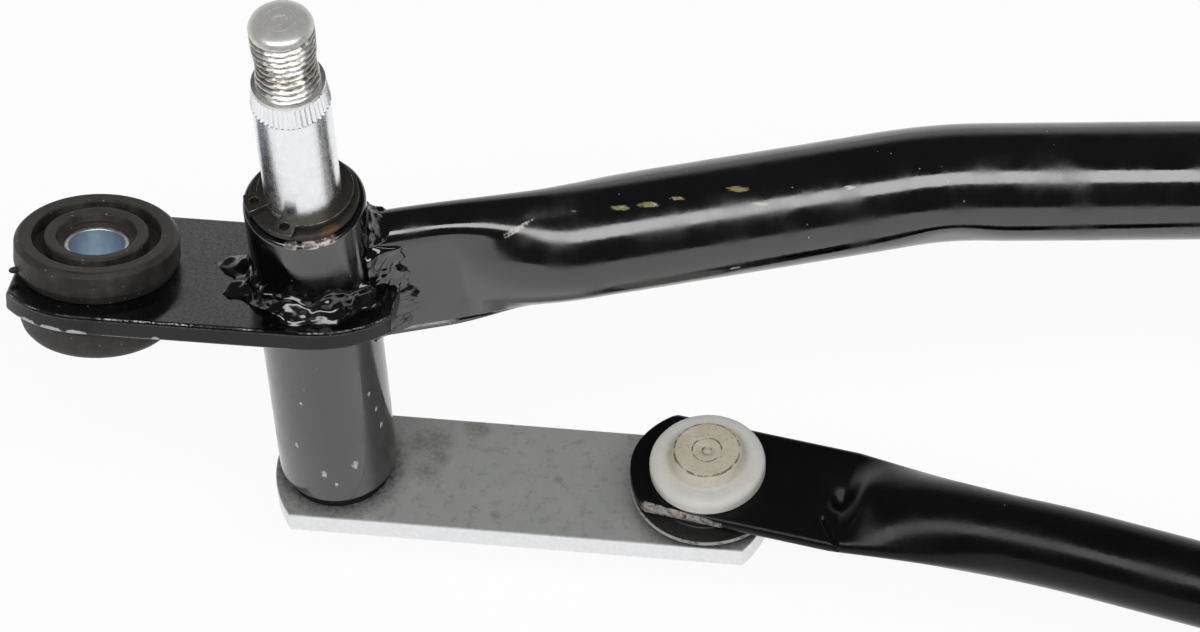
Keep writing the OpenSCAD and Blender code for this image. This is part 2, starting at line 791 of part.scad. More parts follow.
on_right() crank();  // right_crank
on_right() below_crank() ball_stud();  // right_ball_stud
link_rod();  // left_link_rod
on_link() ball_socket();  // left_pivot_socket
on_link() dust_seal();  // left_pivot_seal
on_link() at_motor_end() ball_socket();  // left_motor_socket
on_link() at_motor_end() dust_seal();  // left_motor_seal
on_right() below_crank() link_rod();  // right_link_rod
on_right() below_crank() on_link() ball_socket();  // right_pivot_socket
on_right() below_crank() on_link() dust_seal();  // right_pivot_seal
on_right() below_crank() on_link() at_motor_end() ball_socket();  // right_motor_socket
on_right() below_crank() on_link() at_motor_end() dust_seal();  // right_motor_seal
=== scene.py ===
import json
from math import acos, cos, pi, radians, sin, sqrt, tan

import bmesh
import bpy
import numpy as np
from mathutils import Euler, Matrix, Vector, noise


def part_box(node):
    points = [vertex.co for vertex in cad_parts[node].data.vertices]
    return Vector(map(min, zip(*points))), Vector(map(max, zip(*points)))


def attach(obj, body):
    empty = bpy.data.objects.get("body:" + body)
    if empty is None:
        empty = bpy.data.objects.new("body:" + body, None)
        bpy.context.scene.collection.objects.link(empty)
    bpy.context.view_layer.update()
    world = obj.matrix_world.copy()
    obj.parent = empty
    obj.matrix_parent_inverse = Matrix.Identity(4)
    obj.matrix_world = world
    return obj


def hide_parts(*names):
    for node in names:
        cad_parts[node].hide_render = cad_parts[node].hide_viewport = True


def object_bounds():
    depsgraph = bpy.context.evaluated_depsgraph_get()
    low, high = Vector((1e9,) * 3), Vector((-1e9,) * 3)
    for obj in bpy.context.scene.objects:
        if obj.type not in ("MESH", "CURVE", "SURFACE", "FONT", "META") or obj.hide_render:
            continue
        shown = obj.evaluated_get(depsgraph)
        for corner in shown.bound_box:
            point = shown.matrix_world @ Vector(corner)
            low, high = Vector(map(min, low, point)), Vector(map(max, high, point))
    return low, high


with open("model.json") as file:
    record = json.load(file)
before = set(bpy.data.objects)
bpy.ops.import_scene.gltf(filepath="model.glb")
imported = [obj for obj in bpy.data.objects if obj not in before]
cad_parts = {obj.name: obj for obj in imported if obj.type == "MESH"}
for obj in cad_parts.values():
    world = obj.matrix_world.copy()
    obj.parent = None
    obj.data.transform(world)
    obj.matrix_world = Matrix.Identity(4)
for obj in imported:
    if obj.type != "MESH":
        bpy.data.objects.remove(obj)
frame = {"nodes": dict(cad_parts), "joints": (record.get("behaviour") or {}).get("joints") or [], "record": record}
cad_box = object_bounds()

# Frame tube: one length of steel tube that carries the whole linkage, bent twice.
# Its ends are pressed flat in a die and welded to the pivot housings, and it is painted
# gloss black after welding. The paint is scraped and specked from storage.
MM = 0.001
mounts = {mount["name"]: mount for mount in frame["record"]["mounts"]}


def heights(cad_node):
    """Lowest and highest point of a CAD node in mm."""
    return [corner.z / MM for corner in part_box(cad_node)]


def outer_r(cad_node):
    """Outer radius in mm of a CAD node that is round about an upright axis."""
    low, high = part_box(cad_node)
    return (high.x - low.x) / 2 / MM


spindle_gap = mounts["right_arm_thread"]["pos_m"][0] / MM
housing_bottom, housing_top = heights("left_housing")
housing_r = outer_r("left_housing")
tube_r = 9.35
tube_z = housing_top - 20.4
tube_splay = radians(11.2)
tube_run, tube_bend_r = 99.5, 80
tab_start, tab_crease, tab_round = housing_r - 0.9, 22.6, 43
crease_slant = 0.07
tab_t, tab_h, tab_edge_r = 7.2, 24.9, 2.8
tab_lip, tab_lip_h, tab_groove = 0.1, 2.3, 0.3
front_power = 2.1
back_lead, back_extra = 11, 22
edge_lead, edge_extra = 4, 2
dent_at, dent_length, dent_depth = 101, 6, 0.6
dent_heading, dent_spread = 1.12 * pi, 0.35
tube_points = 144


def filleted(corners, steps=6):
    """Closed outline through the corners (x, y, r), each rounded to its radius r."""
    outline = []
    for i, (x, y, r) in enumerate(corners):
        here = np.array([x, y])
        before = np.array(corners[i - 1][:2]) - here
        after = np.array(corners[(i + 1) % len(corners)][:2]) - here
        if r <= 0:
            outline.append(here)
            continue
        before, after = before / np.linalg.norm(before), after / np.linalg.norm(after)
        half = acos(np.clip(before @ after, -1, 1)) / 2
        middle = (before + after) / np.linalg.norm(before + after)
        centre = here + middle * r / sin(half)
        spoke = here + before * r / tan(half) - centre
        turn = (pi - 2 * half) * np.sign(before[0] * after[1] - before[1] * after[0])
        for part in range(steps + 1):
            a = -turn * part / steps
            x_spoke = spoke[0] * cos(a) - spoke[1] * sin(a)
            y_spoke = spoke[0] * sin(a) + spoke[1] * cos(a)
            outline.append(centre + [x_spoke, y_spoke])
    return np.array(outline)


def evenly(loop, count):
    """The closed loop again, as points at equal distances from its first point on."""
    closed = np.vstack([loop, loop[:1]])
    along = np.concatenate([[0], np.cumsum(np.linalg.norm(np.diff(closed, axis=0), axis=1))])
    stops = np.linspace(0, along[-1], count, endpoint=False)
    return np.column_stack([np.interp(stops, along, closed[:, axis]) for axis in range(2)])


def eased(at, start, length):
    """0 up to the start and 1 past the length, smooth between."""
    return (1 - np.cos(np.clip((at - start) / length, 0, 1) * pi)) / 2


def lump(at, middle, width):
    """1 in the middle, fading to both sides over the width."""
    return np.exp(-((at - middle) / width) ** 2)


def placed(name, data, place=Matrix()):
    """New object in the scene."""
    made = bpy.data.objects.new(name, data)
    bpy.context.scene.collection.objects.link(made)
    made.matrix_world = place
    return made


def smoothed(mesh, crease):
    """Shades a mesh smooth except at edges sharper than the crease angle in degrees."""
    mesh.shade_smooth()
    mesh.set_sharp_from_angle(angle=radians(crease))


def shaped(name, points, faces, place=Matrix(), crease=35):
    """Mesh object from points in mm, smooth except at edges sharper than the crease angle."""
    mesh = bpy.data.meshes.new(name)
    mesh.from_pydata([tuple(c * MM for c in p) for p in points], [], faces)
    shell = bmesh.new()
    shell.from_mesh(mesh)
    bmesh.ops.remove_doubles(shell, verts=shell.verts, dist=MM / 1e4)
    bmesh.ops.recalc_face_normals(shell, faces=shell.faces)
    shell.to_mesh(mesh)
    shell.free()
    smoothed(mesh, crease)
    return placed(name, mesh, place)


def lofted(name, skins, place=Matrix(), crease=35):
    """One object from closed skins, each laid over rings of points in mm, all with the same count."""
    points, faces = [], []
    for rings in skins:
        start, count = len(points), len(rings[0])
        points += [p for ring in rings for p in ring]
        last = len(points) - count
        for row in range(start, last, count):
            faces += [
                (row + i, row + (i + 1) % count, row + count + (i + 1) % count, row + count + i)
                for i in range(count)
            ]
        faces += [tuple(range(start, start + count)), tuple(range(last, last + count))]
    return shaped(name, points, faces, place, crease)


def bent_route(along, splay, run, bend_r):
    """Place and heading on an axis that sets off at the splay and bends straight about the run."""
    knee = run - bend_r * tan(splay / 2)
    if along < knee:
        return along * cos(splay), along * sin(splay), splay
    heading = splay - min((along - knee) / bend_r, splay)
    x = knee * cos(splay) + bend_r * (sin(splay) - sin(heading))
    y = knee * sin(splay) + bend_r * (cos(heading) - cos(splay))
    return x + max(along - knee - bend_r * splay, 0), y, heading


def half_way(route, run, span):
    """How far along a route its middle comes, past the run."""
    return next(s for s in np.arange(run, span, 0.25) if route(s)[0] >= span / 2)


def laid_across(outline, x, y, heading, z):
    """Points of a section, (across, up) in mm, set square to an axis."""
    return np.array([(x - u * sin(heading), y + u * cos(heading), z + w) for u, w in outline])


def with_mirror(rings, span):
    """Rings of the left half, and the same ones mirrored after them."""
    return rings + [ring * (-1, 1, 1) + (span, 0, 0) for ring in rings[-2::-1]]


def node(kind, inputs, tree=None, **properties):
    """New shader node: an input is a value, or the output of another node, whose tree it joins."""
    linked = {key: value for key, value in inputs.items() if isinstance(value, bpy.types.NodeSocket)}
    tree = tree or next(iter(linked.values())).id_data
    made = tree.nodes.new("ShaderNode" + kind)
    for key, value in properties.items():
        setattr(made, key, value)
    for key, value in inputs.items():
        if key in linked:
            tree.links.new(value, made.inputs[key])
        else:
            made.inputs[key].default_value = value
    return made


def finish(name, roughness, metallic=0.0, **sockets):
    """New material and its shader, with the values that are the same all over."""
    material = bpy.data.materials.new(name)
    material.use_nodes = True
    shader = material.node_tree.nodes["Principled BSDF"]
    shader.inputs["Roughness"].default_value = roughness
    shader.inputs["Metallic"].default_value = metallic
    for key, value in sockets.items():
        shader.inputs[key.replace("_", " ")].default_value = value
    return material, shader


def feed(shader, socket, source):
    """Lets a value that changes over the surface drive one of the shader's sockets."""
    shader.id_data.links.new(source, shader.inputs[socket])


def local(owner, output="Object"):
    """Coordinates on the surface, in the tree of a shader or a socket."""
    return node("TexCoord", {}, owner.id_data).outputs[output]


def grain(coords, size, detail=4.0, rough=0.55):
    """Noise from 0 to 1 whose patches are about so many mm across."""
    inputs = {"Vector": coords, "Scale": 1 / (size * MM), "Detail": detail, "Roughness": rough}
    return node("TexNoise", inputs).outputs["Fac"]


def step(value, low, high):
    """0 below low, 1 above high, smooth between; low may be the larger one."""
    inputs = {"Value": value, "From Min": low, "From Max": high}
    return node("MapRange", inputs, interpolation_type="SMOOTHSTEP").outputs["Result"]


def math(operation, a, b=0.0):
    return node("Math", {0: a, 1: b}, operation=operation).outputs[0]


def times(a, b):
    return math("MULTIPLY", a, b)


def most(a, b):
    return math("MAXIMUM", a, b)


def torn(mask, noisy, low, high):
    """The mask where it outweighs a noise, so that its rim is ragged."""
    return step(times(mask, noisy), low, high)


def tinted(mask, under, over):
    """Colour under the mask's 0 and over its 1; each colour is an RGB triple or a socket."""
    full = [c if isinstance(c, bpy.types.NodeSocket) else (*c, 1) for c in (under, over)]
    return node("Mix", {0: mask, 6: full[0], 7: full[1]}, data_type="RGBA").outputs[2]


def spots(coords, places):
    """1 in the middle of each spot (x, y, z, reach) in mm, falling to 0 at its reach."""
    mask = 0.0
    for x, y, z, reach in places:
        middle = Vector((x, y, z)) * MM
        away = node("VectorMath", {0: coords, 1: middle}, operation="DISTANCE").outputs["Value"]
        mask = most(mask, step(away, reach * MM, 0.0))
    return mask


def dust(coords, spacing, share, size):
    """Specks scattered so many mm apart, in a share of their places, of a size in mm."""
    cells = node("TexVoronoi", {"Vector": coords, "Scale": 1 / (spacing * MM)})
    kept = node("SeparateColor", {"Color": cells.outputs["Color"]}).outputs["Red"]
    dot = step(cells.outputs["Distance"], size / spacing, 0.4 * size / spacing)
    return times(dot, math("LESS_THAN", kept, share))


def squeezed(coords, by):
    """Coordinates times a factor for each axis: what is drawn on them gets longer along a small one."""
    return node("VectorMath", {0: coords, 1: by}, operation="MULTIPLY").outputs["Vector"]


def bumped(shader, height, depth):
    """Lets a height from 0 to 1 stand out by so many mm in the shading."""
    bump = node("Bump", {"Height": height, "Distance": depth * MM})
    feed(shader, "Normal", bump.outputs["Normal"])


def coated(piece, material):
    piece.data.materials.clear()
    piece.data.materials.append(material)


def fitted(piece, material, cad_node, body):
    """Finishes a piece that stands for a CAD node and rides on its body."""
    coated(piece, material)
    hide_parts(cad_node)
    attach(piece, body)


half_t, half_h = tab_t / 2, tab_h / 2
lip_z = tab_lip_h - half_h
tab_outline = evenly(filleted([
    (half_t, 0, 0), (half_t, half_h, tab_edge_r), (-half_t, half_h, tab_edge_r),
    (-half_t, lip_z, 0.1), (-half_t + tab_groove, lip_z - 0.2, 0.08), (-half_t - tab_lip, lip_z - 0.45, 0.2),
    (-half_t - tab_lip, -half_h, 1.6), (half_t, -half_h, tab_edge_r),
]), tube_points)
round_angles = np.linspace(0, 2 * pi, tube_points, endpoint=False)
unit_circle = np.column_stack([np.cos(round_angles), np.sin(round_angles)])
round_outline = tube_r * unit_circle
on_front = np.clip((0.5 - tab_outline[:, 0]) / 3, 0, 1)
near_edge = np.clip((np.abs(tab_outline[:, 1]) - 5) / 5, 0, 1)


def tube_route(along):
    return bent_route(along, tube_splay, tube_run, tube_bend_r)


def tube_ring(along):
    """Section of the tube: flat up to the crease, then opening to the round, dented at the bend. The
    front opens suddenly, and the back and the edges gently."""
    crease = tab_crease - crease_slant * tab_outline[:, 1]
    sudden = 1 - (1 - np.clip((along - crease) / (tab_round - crease), 0, 1)) ** front_power
    gentle = eased(along, tab_crease - back_lead, tab_round - tab_crease + back_extra)
    at_edge = eased(along, crease - edge_lead, tab_round - crease + edge_extra)
    front = sudden + (at_edge - sudden) * near_edge
    opened = (gentle + (front - gentle) * on_front)[:, None]
    outline = tab_outline * (1 - opened) + round_outline * opened
    dent = dent_depth * lump(along, dent_at, dent_length) * lump(round_angles, dent_heading, dent_spread)
    outline = outline * (1 - dent / tube_r)[:, None]
    return laid_across(outline, *tube_route(along), tube_z)


tube_half = half_way(tube_route, tube_run, spindle_gap)
tube_stops = np.concatenate([
    np.linspace(tab_start, tab_crease - 1, 12), np.linspace(tab_crease - 0.9, tab_round + 1, 60),
    np.arange(tab_round + 2, tube_run + 23, 2), np.linspace(tube_run + 24, tube_half, 14)])
tube_rings = with_mirror([tube_ring(stop) for stop in tube_stops], spindle_gap)
frame_tube = lofted("frame_tube_painted", [tube_rings], crease=28)


def gloss_black(name, wear=None):
    """Gloss black paint with orange peel, haze and dust; wear(coords) gives what is bare, and on the housing also
    the painted glints.
    """
    material, shader = finish(name, 0.12, Specular_IOR_Level=1.0, IOR=1.55)
    coords = local(shader)
    haze = grain(coords, 9)
    colour = tinted(haze, (0.0012, 0.0012, 0.0013), (0.0028, 0.0028, 0.003))
    slanting = node("Mapping", {0: coords, 2: (0.3, 0.6, 0.4), 3: (1, 1, 0.16)}).outputs[0]
    flecks = most(dust(coords, 2.2, 0.1, 0.15), dust(slanting, 1.6, 0.14, 0.13))
    colour = tinted(flecks, colour, (0.34, 0.34, 0.33))
    roughness = step(haze, 0.1, 1.7)
    if wear:
        bare, bare_colour = wear(coords)
        colour = tinted(bare, colour, bare_colour)
        roughness = most(roughness, times(bare, 0.5))
    feed(shader, "Base Color", colour)
    feed(shader, "Roughness", roughness)
    fine_peel = times(grain(coords, 0.4, 2), 0.3)
    bumped(shader, math("ADD", grain(coords, 1.4, 2), fine_peel), 0.012)
    return material


def tube_wear(coords):
    """A slanting scrape beside the flat end, and smears of overspray along the top of the tube."""
    scrape_start, scrape_end = Vector((30.4, 1.4, tube_z + 9.2)), Vector((35.2, 4.9, tube_z + 10))
    scrape = spots(coords, [
        (*scrape_start.lerp(scrape_end, share), 0.95 - 0.45 * share) for share in np.linspace(0, 1, 13)])
    scrape = torn(scrape, step(grain(coords, 0.45, 6, 0.8), 0.32, 0.66), 0.1, 0.45)
    smear_squeeze = 0.3
    drawn = squeezed(coords, (smear_squeeze, 1, 1))
    smear = spots(drawn, [(x * smear_squeeze, y, tube_z + z, reach) for x, y, z, reach in (
        (40.5, 6.4, 9, 1.0), (48, 7.2, 9, 1.3), (52.4, 7.8, 9, 1.5), (57, 9, 9, 1.0),
        (66.4, 10.8, 9, 1.5), (70, 8.6, 8, 1.1), (83.9, 11.8, 8, 1.0), (65.7, 3.7, -1.7, 1.0))])
    smear = torn(smear, grain(drawn, 0.25, 5, 0.8), 0.36, 0.45)
    yellowish = step(grain(coords, 2.5, 2), 0.45, 0.55)
    overspray = tinted(yellowish, (0.5, 0.48, 0.42), (0.3, 0.27, 0.05))
    bare = most(scrape, times(smear, 0.8))
    return bare, tinted(smear, (0.5, 0.45, 0.39), overspray)


fitted(frame_tube, gloss_black("tube_gloss_black", tube_wear), "frame_tube", "frame")

# Motor plate: pressed from steel sheet, with a half-round saddle that the tube lies in, a boss
# hole and three bolt holes for the motor, and an arm to the third grommet. Painted with the frame.
plate_edge = 0.5


def edged(name, cad_node, edge):
    """The CAD node's shape again, with its sharp edges rounded as pressed sheet has them."""
    mesh = frame["nodes"][cad_node].data.copy()
    shell = bmesh.new()
    shell.from_mesh(mesh)
    bmesh.ops.remove_doubles(shell, verts=shell.verts, dist=MM / 1e3)
    bmesh.ops.dissolve_limit(shell, angle_limit=radians(1), verts=shell.verts, edges=shell.edges)
    sharp = [e for e in shell.edges if len(e.link_faces) == 2 and e.calc_face_angle() > radians(40)]
    bmesh.ops.bevel(shell, geom=sharp, offset=edge * MM, segments=3, profile=0.5,
                    affect="EDGES", clamp_overlap=True)
    bmesh.ops.triangulate(shell, faces=[f for f in shell.faces if len(f.verts) > 4])
    shell.to_mesh(mesh)
    shell.free()
    smoothed(mesh, 12)
    return placed(name, mesh)


def height_of(vector):
    return node("SeparateXYZ", {0: vector}).outputs["Z"]


def edge_wear(coords, low, high, ragged_size=1.6, tilt=(0, 0, 0)):
    """Bare steel on rounded edges, where the surface is neither flat nor upright; tilt levels it first."""
    facing = node("Mapping", {0: local(coords, "Normal"), 2: tilt}, vector_type="NORMAL").outputs[0]
    level = math("ABSOLUTE", height_of(facing))
    edge = times(step(level, 0.3, 0.6), step(level, 0.97, 0.8))
    return torn(edge, grain(coords, ragged_size, 6, 0.65), low, high)


def motor_plate_wear(coords):
    return edge_wear(coords, 0.52, 0.6), (0.5, 0.5, 0.5)


motor_plate_paint = gloss_black("motor_plate_gloss_black", motor_plate_wear)
fitted(edged("motor_plate_painted", "motor_plate", plate_edge), motor_plate_paint,
       "motor_plate", "frame")

# Pivot housings: lengths of steel tube that hold the spindle's bushes, machined at both ends
# and painted with the frame. The rim is chipped to bare, rusting steel where the washer sits.
SIDES = ("left", "right")
skin_gap = 0.01
housing_bore_r = outer_r("left_upper_bush") + skin_gap
rim_round, foot_round = 0.7, 0.5


def turned(name, outline, place=Matrix(), segments=128, crease=35):
    """Closed outline of (radius, height) points in mm, turned about the local Z axis. Long straight
    stretches get a point near each end, so that their shading stays straight."""
    near_end, long_stretch = 0.2, 1
    held = []
    for here, ahead in zip(outline, np.roll(outline, -1, axis=0)):
        way = np.array(ahead) - here
        span = np.linalg.norm(way)
        held.append(here)
        if span > long_stretch:
            inward = way * near_end / span
            held += [here + inward, ahead - inward]
    angles = np.linspace(0, 2 * pi, segments, endpoint=False)
    points = [(r * cos(a), r * sin(a), z) for a in angles for r, z in held]
    count, total = len(held), len(points)
    faces = [
        (row + i, row + (i + 1) % count, (row + count + (i + 1) % count) % total, (row + count + i) % total)
        for row in range(0, total, count)
        for i in range(count)
    ]
    return shaped(name, points, faces, place, crease)


def spindle_place(side, z=0.0):
    return Matrix.Translation(Vector((spindle_gap * (side == "right"), 0, z)) * MM)


def housing_wear_and_glints(coords):
    """Chips at the front of the rim, with a rusty patch, and scratches and painted glints in light streaks down
    the wall.
    """
    rim_z, glint_squeeze = housing_top - 0.2, 0.5
    edge = step(height_of(coords), (housing_top - 1.1) * MM, (housing_top - 0.4) * MM)
    rim = spots(coords, [(1.7, -9.2, rim_z, 3.2), (-1.5, -9.3, rim_z, 2.2), (4.4, -8.4, rim_z, 2.8)])
    rim = torn(times(rim, grain(coords, 1.1, 6, 0.7)), edge, 0.16, 0.34)
    drawn = squeezed(coords, (1, 1, glint_squeeze))
    # painted glints: light grey streaks on the lower wall of the housing
    painted_glints = spots(drawn, [(x, y, z * glint_squeeze, reach) for x, y, z, reach in (
        (-1.2, -9.5, -86, 1.5), (3.9, -8.7, -84.5, 1.9), (-5.2, -8, -80, 1.0), (0.6, -9.5, -88.6, 0.9),
        (7.9, -5.4, -74, 1.0), (8.3, -4.7, -79, 1.1), (7.2, -6.3, -69, 0.9), (-3.4, -8.9, -68, 0.9))])
    painted_glints = torn(painted_glints, grain(drawn, 0.25, 5, 0.8), 0.4, 0.46)
    rust = times(step(grain(coords, 0.9), 0.38, 0.56), edge)
    return most(rim, painted_glints), tinted(rust, (0.5, 0.49, 0.46), (0.07, 0.045, 0.03))


housing_paint = gloss_black("housing_gloss_black", housing_wear_and_glints)
for side in SIDES:
    outline = filleted([
        (housing_bore_r, housing_bottom, 0.3), (housing_r, housing_bottom, foot_round),
        (housing_r, housing_top, rim_round), (housing_bore_r, housing_top, 0.2)], 4)
    fitted(turned(f"{side}_housing_tube", outline, spindle_place(side)), housing_paint,
           f"{side}_housing", "frame")

# Mount plates: cut from steel plate with both ends clipped, bored for the housing and the
# grommet, and welded to the housing at a tilt. The paint is chipped along the edges.
plate_t = 3.3
plate_r, grommet_arm, plate_nose, plate_heel = 16.2, 34.6, 12.5, 13.5
plate_drop = 19.6
plate_tilt, plate_lean, plate_swing = radians(20.1), radians(2.6), radians(5.6)
grommet_hole_r, housing_room = 8.55, 0.75
on_plate = (Matrix.Translation((0, 0, (housing_top - plate_drop) * MM)) @ Matrix.Rotation(plate_lean, 4, "Y")
            @ Matrix.Rotation(-plate_tilt, 4, "X") @ Matrix.Rotation(-plate_swing, 4, "Z"))
mirror = Matrix.Diagonal((-1, 1, 1, 1))
flips = {"left": 1, "right": -1}


def to_side(side, place):
    """A place at the left pivot, or the same place at the right pivot, mirrored."""
    return place if side == "left" else spindle_place("right") @ mirror @ place @ mirror


def circle(x, y, r, count=72):
    return [(x + r * cos(a), y + r * sin(a)) for a in np.linspace(0, 2 * pi, count, endpoint=False)]


def stamped(name, outlines, thickness, edge, place, crease=12):
    """Flat piece cut from plate: outlines in mm, the first outside and the others holes, with
    its upper face at local z = 0 and its edges rounded."""
    curve = bpy.data.curves.new(name, "CURVE")
    curve.dimensions, curve.fill_mode = "2D", "BOTH"
    curve.extrude, curve.bevel_depth, curve.bevel_resolution = (thickness / 2 - edge) * MM, edge * MM, 2
    curve.offset = -edge * MM
    for outline in outlines:
        spline = curve.splines.new("POLY")
        spline.points.add(len(outline) - 1)
        for point, (x, y) in zip(spline.points, outline):
            point.co = (x * MM, y * MM, 0, 1)
        spline.use_cyclic_u = True
    blank = placed(name + "_blank", curve)
    evaluated = blank.evaluated_get(bpy.context.evaluated_depsgraph_get())
    mesh = bpy.data.meshes.new_from_object(evaluated)
    bpy.data.objects.remove(blank)
    points = [(v.co.x / MM, v.co.y / MM, v.co.z / MM - thickness / 2) for v in mesh.vertices]
    faces = [tuple(face.vertices) for face in mesh.polygons]
    bpy.data.meshes.remove(mesh)
    return shaped(name, points, faces, place, crease)


def settled(piece):
    """The piece with its tilt moved into its mesh, so that its box fits it."""
    piece.data.transform(piece.matrix_world.to_3x3().to_4x4())
    piece.matrix_world = Matrix.Translation(piece.matrix_world.translation)
    return piece


def mount_plate_outline(flip):
    """Stadium with clipped ends, drawn with arcs round the spindle and round the grommet."""
    heel, nose = acos(plate_heel / plate_r), acos(plate_nose / plate_r)
    points = [(plate_r * cos(a), plate_r * sin(a)) for a in np.linspace(heel, pi / 2, 12)]
    points += [(-grommet_arm - plate_r * cos(a), plate_r * sin(a)) for a in np.linspace(pi / 2, nose, 12)]
    points += [(x, -y) for x, y in reversed(points)]
    return [(x * flip, y) for x, y in points]


def mount_plate_wear(coords):
    """Bare line along the edges, and a broad scrape by the grommet. The face is pebbled and the rim
    duller."""
    levelled = on_plate.inverted().to_euler()
    coords = node("Mapping", {0: coords, 2: levelled}).outputs[0]
    edge = edge_wear(coords, 0.4, 0.62, 0.7, levelled)
    edge = times(edge, step(grain(coords, 7), 0.42, 0.62))
    height = height_of(coords)
    on_face = step(height, -0.9 * MM, -0.4 * MM)
    low = step(height, -1.9 * MM, -2.9 * MM)
    pebbled = times(on_face, step(grain(coords, 0.5, 3), 0.2, 0.95))
    feed(coords.id_data.nodes["Principled BSDF"], "Specular IOR Level", math("ADD", pebbled, 0.36))
    scrape = spots(coords, [(x, y, -plate_t, reach) for x, y, reach in (
        (-43, -13.6, 4), (-39, -15.4, 4), (-35, -16.1, 3.4), (-22.5, -16.2, 1.6))])
    scrape = torn(times(scrape, low), grain(coords, 1.2, 6, 0.7), 0.2, 0.34)
    return most(edge, scrape), (0.42, 0.42, 0.43)


plate_paint = gloss_black("plate_gloss_black", mount_plate_wear)
for side, flip in flips.items():
    outlines = [mount_plate_outline(flip), circle(0, 0, housing_r + housing_room),
                circle(-grommet_arm * flip, 0, grommet_hole_r)]
    plate = settled(stamped(f"{side}_plate_cut", outlines, plate_t, plate_edge, to_side(side, on_plate)))
    fitted(plate, plate_paint, f"{side}_mount_plate", "frame")

# Welds: rough hand-laid fillets where the housing passes through its plate and meets the tube's flat
# end, with torn crests and spatter, and the two seams of the motor plate's saddle. Painted over.
weld_step, weld_turn, saddle_weld_step = 0.24, 1.2, 0.7
weld_bite, saddle_leg = 0.1, 2.6


def rough_fillet(path, seed, coarse=1.0):
    """Skin of a fillet along a path of corners in mm. Each corner is (foot, up the wall, out along the
    plate): the rings run down the wall and out, hollow between, with folds and a blunt toe."""
    rings = []
    for i, (foot, up, out) in enumerate(path):
        end = min(1, 0.15 + 0.2 * min(i, len(path) - 1 - i))
        ring = []
        for share in np.linspace(0, 1, 22):
            lean = share * pi / 2
            hollow = foot + up * (1 - sin(lean)) ** 0.9 * end + out * (1 - cos(lean)) ** 0.9 * end
            away = (up.normalized() * sin(lean) + out.normalized() * cos(lean)).normalized()
            at = hollow + Vector((seed, seed, 0))
            folds = 1.2 * max(noise.noise(at * 0.19), 0) + 1.6 * noise.noise(at * 0.36) ** 2
            proud = 0.35 + folds + 0.1 * noise.noise(at)
            ring.append(hollow + away * proud * coarse * end * min(1, share / 0.12, (1 - share) / 0.1))
        sunk = (up.normalized() + out.normalized()) * 0.5
        ring += [foot - sunk + out * end * 0.9, foot - sunk * 1.6, foot - sunk + up * end * 0.9]
        rings.append(ring)
    return rings


def plate_height(x, y, below=0.0):
    """Height of the left mount plate's upper face, or so far below it, at a place in mm."""
    rise = on_plate.to_3x3() @ Vector((0, 0, 1))
    return on_plate.translation.z / MM - (rise.x * x + rise.y * y + below) / rise.z


def seam_round_housing(first, last, wall, reach, under=False):
    """Corners round the housing between two headings in degrees; wall and reach give the fillet's two
    legs in mm at a heading."""
    below, way = (plate_t, -1) if under else (0, 1)
    corners = []
    for heading in np.arange(first, last, weld_turn):
        spoke = Vector((cos(radians(heading)), sin(radians(heading)), 0))
        foot, tip = spoke * (housing_r - weld_bite), spoke * (housing_r + reach(heading))
        foot.z, tip.z = plate_height(foot.x, foot.y, below), plate_height(tip.x, tip.y, below)
        corners.append((foot, Vector((0, 0, way * wall(heading))), tip - foot))
    return corners


def pivot_welds(seed):
    """All the fillets of the left pivot, in its own place."""
    tab_side = Vector((cos(tube_splay), sin(tube_splay), 0))
    front = Vector((sin(tube_splay), -cos(tube_splay), 0))

    def ragged(at, rate):
        return noise.noise(Vector((at * rate, seed, 0)))

    def upper_wall(h):
        return 3.6 + 1.6 * ragged(h, 0.05) + 2.4 * lump(h, -200, 16) + 1.5 * lump(h, -60, 16)

    def upper_reach(h):
        runs = 3.2 * lump(h, -196, 12) + 2.4 * lump(h, -160, 7) + 1.2 * lump(h, -95, 14)
        return 2.8 + 1.3 * ragged(h, 0.05) + runs

    upper = seam_round_housing(-212, -6, upper_wall, upper_reach)
    rear = seam_round_housing(35, 140, lambda h: 3.0 + ragged(h, 0.05), lambda h: 2.4 + ragged(h, 0.06))
    under = seam_round_housing(
        -165, 165, lambda h: 2.2 + 0.6 * ragged(h, 0.05), lambda h: 2.2 + 0.6 * ragged(h, 0.06), True)
    wall_at = sqrt((housing_r - weld_bite) ** 2 - (half_t + 1.2) ** 2)
    beside = []
    for z in np.arange(tube_z + half_h - 1.6, tube_z - half_h + 1.4, -weld_step):
        foot = tab_side * wall_at + front * (half_t - 0.2) + Vector((0, 0, z))
        heel = lump(z, tube_z - 3.5, 5)
        beside.append((foot, front * (2.6 + 0.9 * ragged(z, 0.4) + 2.2 * heel),
                       tab_side * (6.0 + 1.4 * ragged(z, 0.55) + 0.9 * ragged(z, 1.3) + 1.5 * heel)))
    over = []
    for u in np.arange(-half_t - 0.6, half_t + 0.8, weld_step):
        foot = tab_side * (housing_r - 0.3) - front * u + Vector((0, 0, tube_z + half_h - 0.9))
        over.append((foot, Vector((0, 0, 2.6 + 0.8 * ragged(u, 0.6))), tab_side * (3.2 + ragged(u, 0.8))))
    return [rough_fillet(upper, seed), rough_fillet(rear, seed + 7), rough_fillet(under, seed + 13, 0.7),
            rough_fillet(beside, seed + 19, 1.1), rough_fillet(over, seed + 23)]


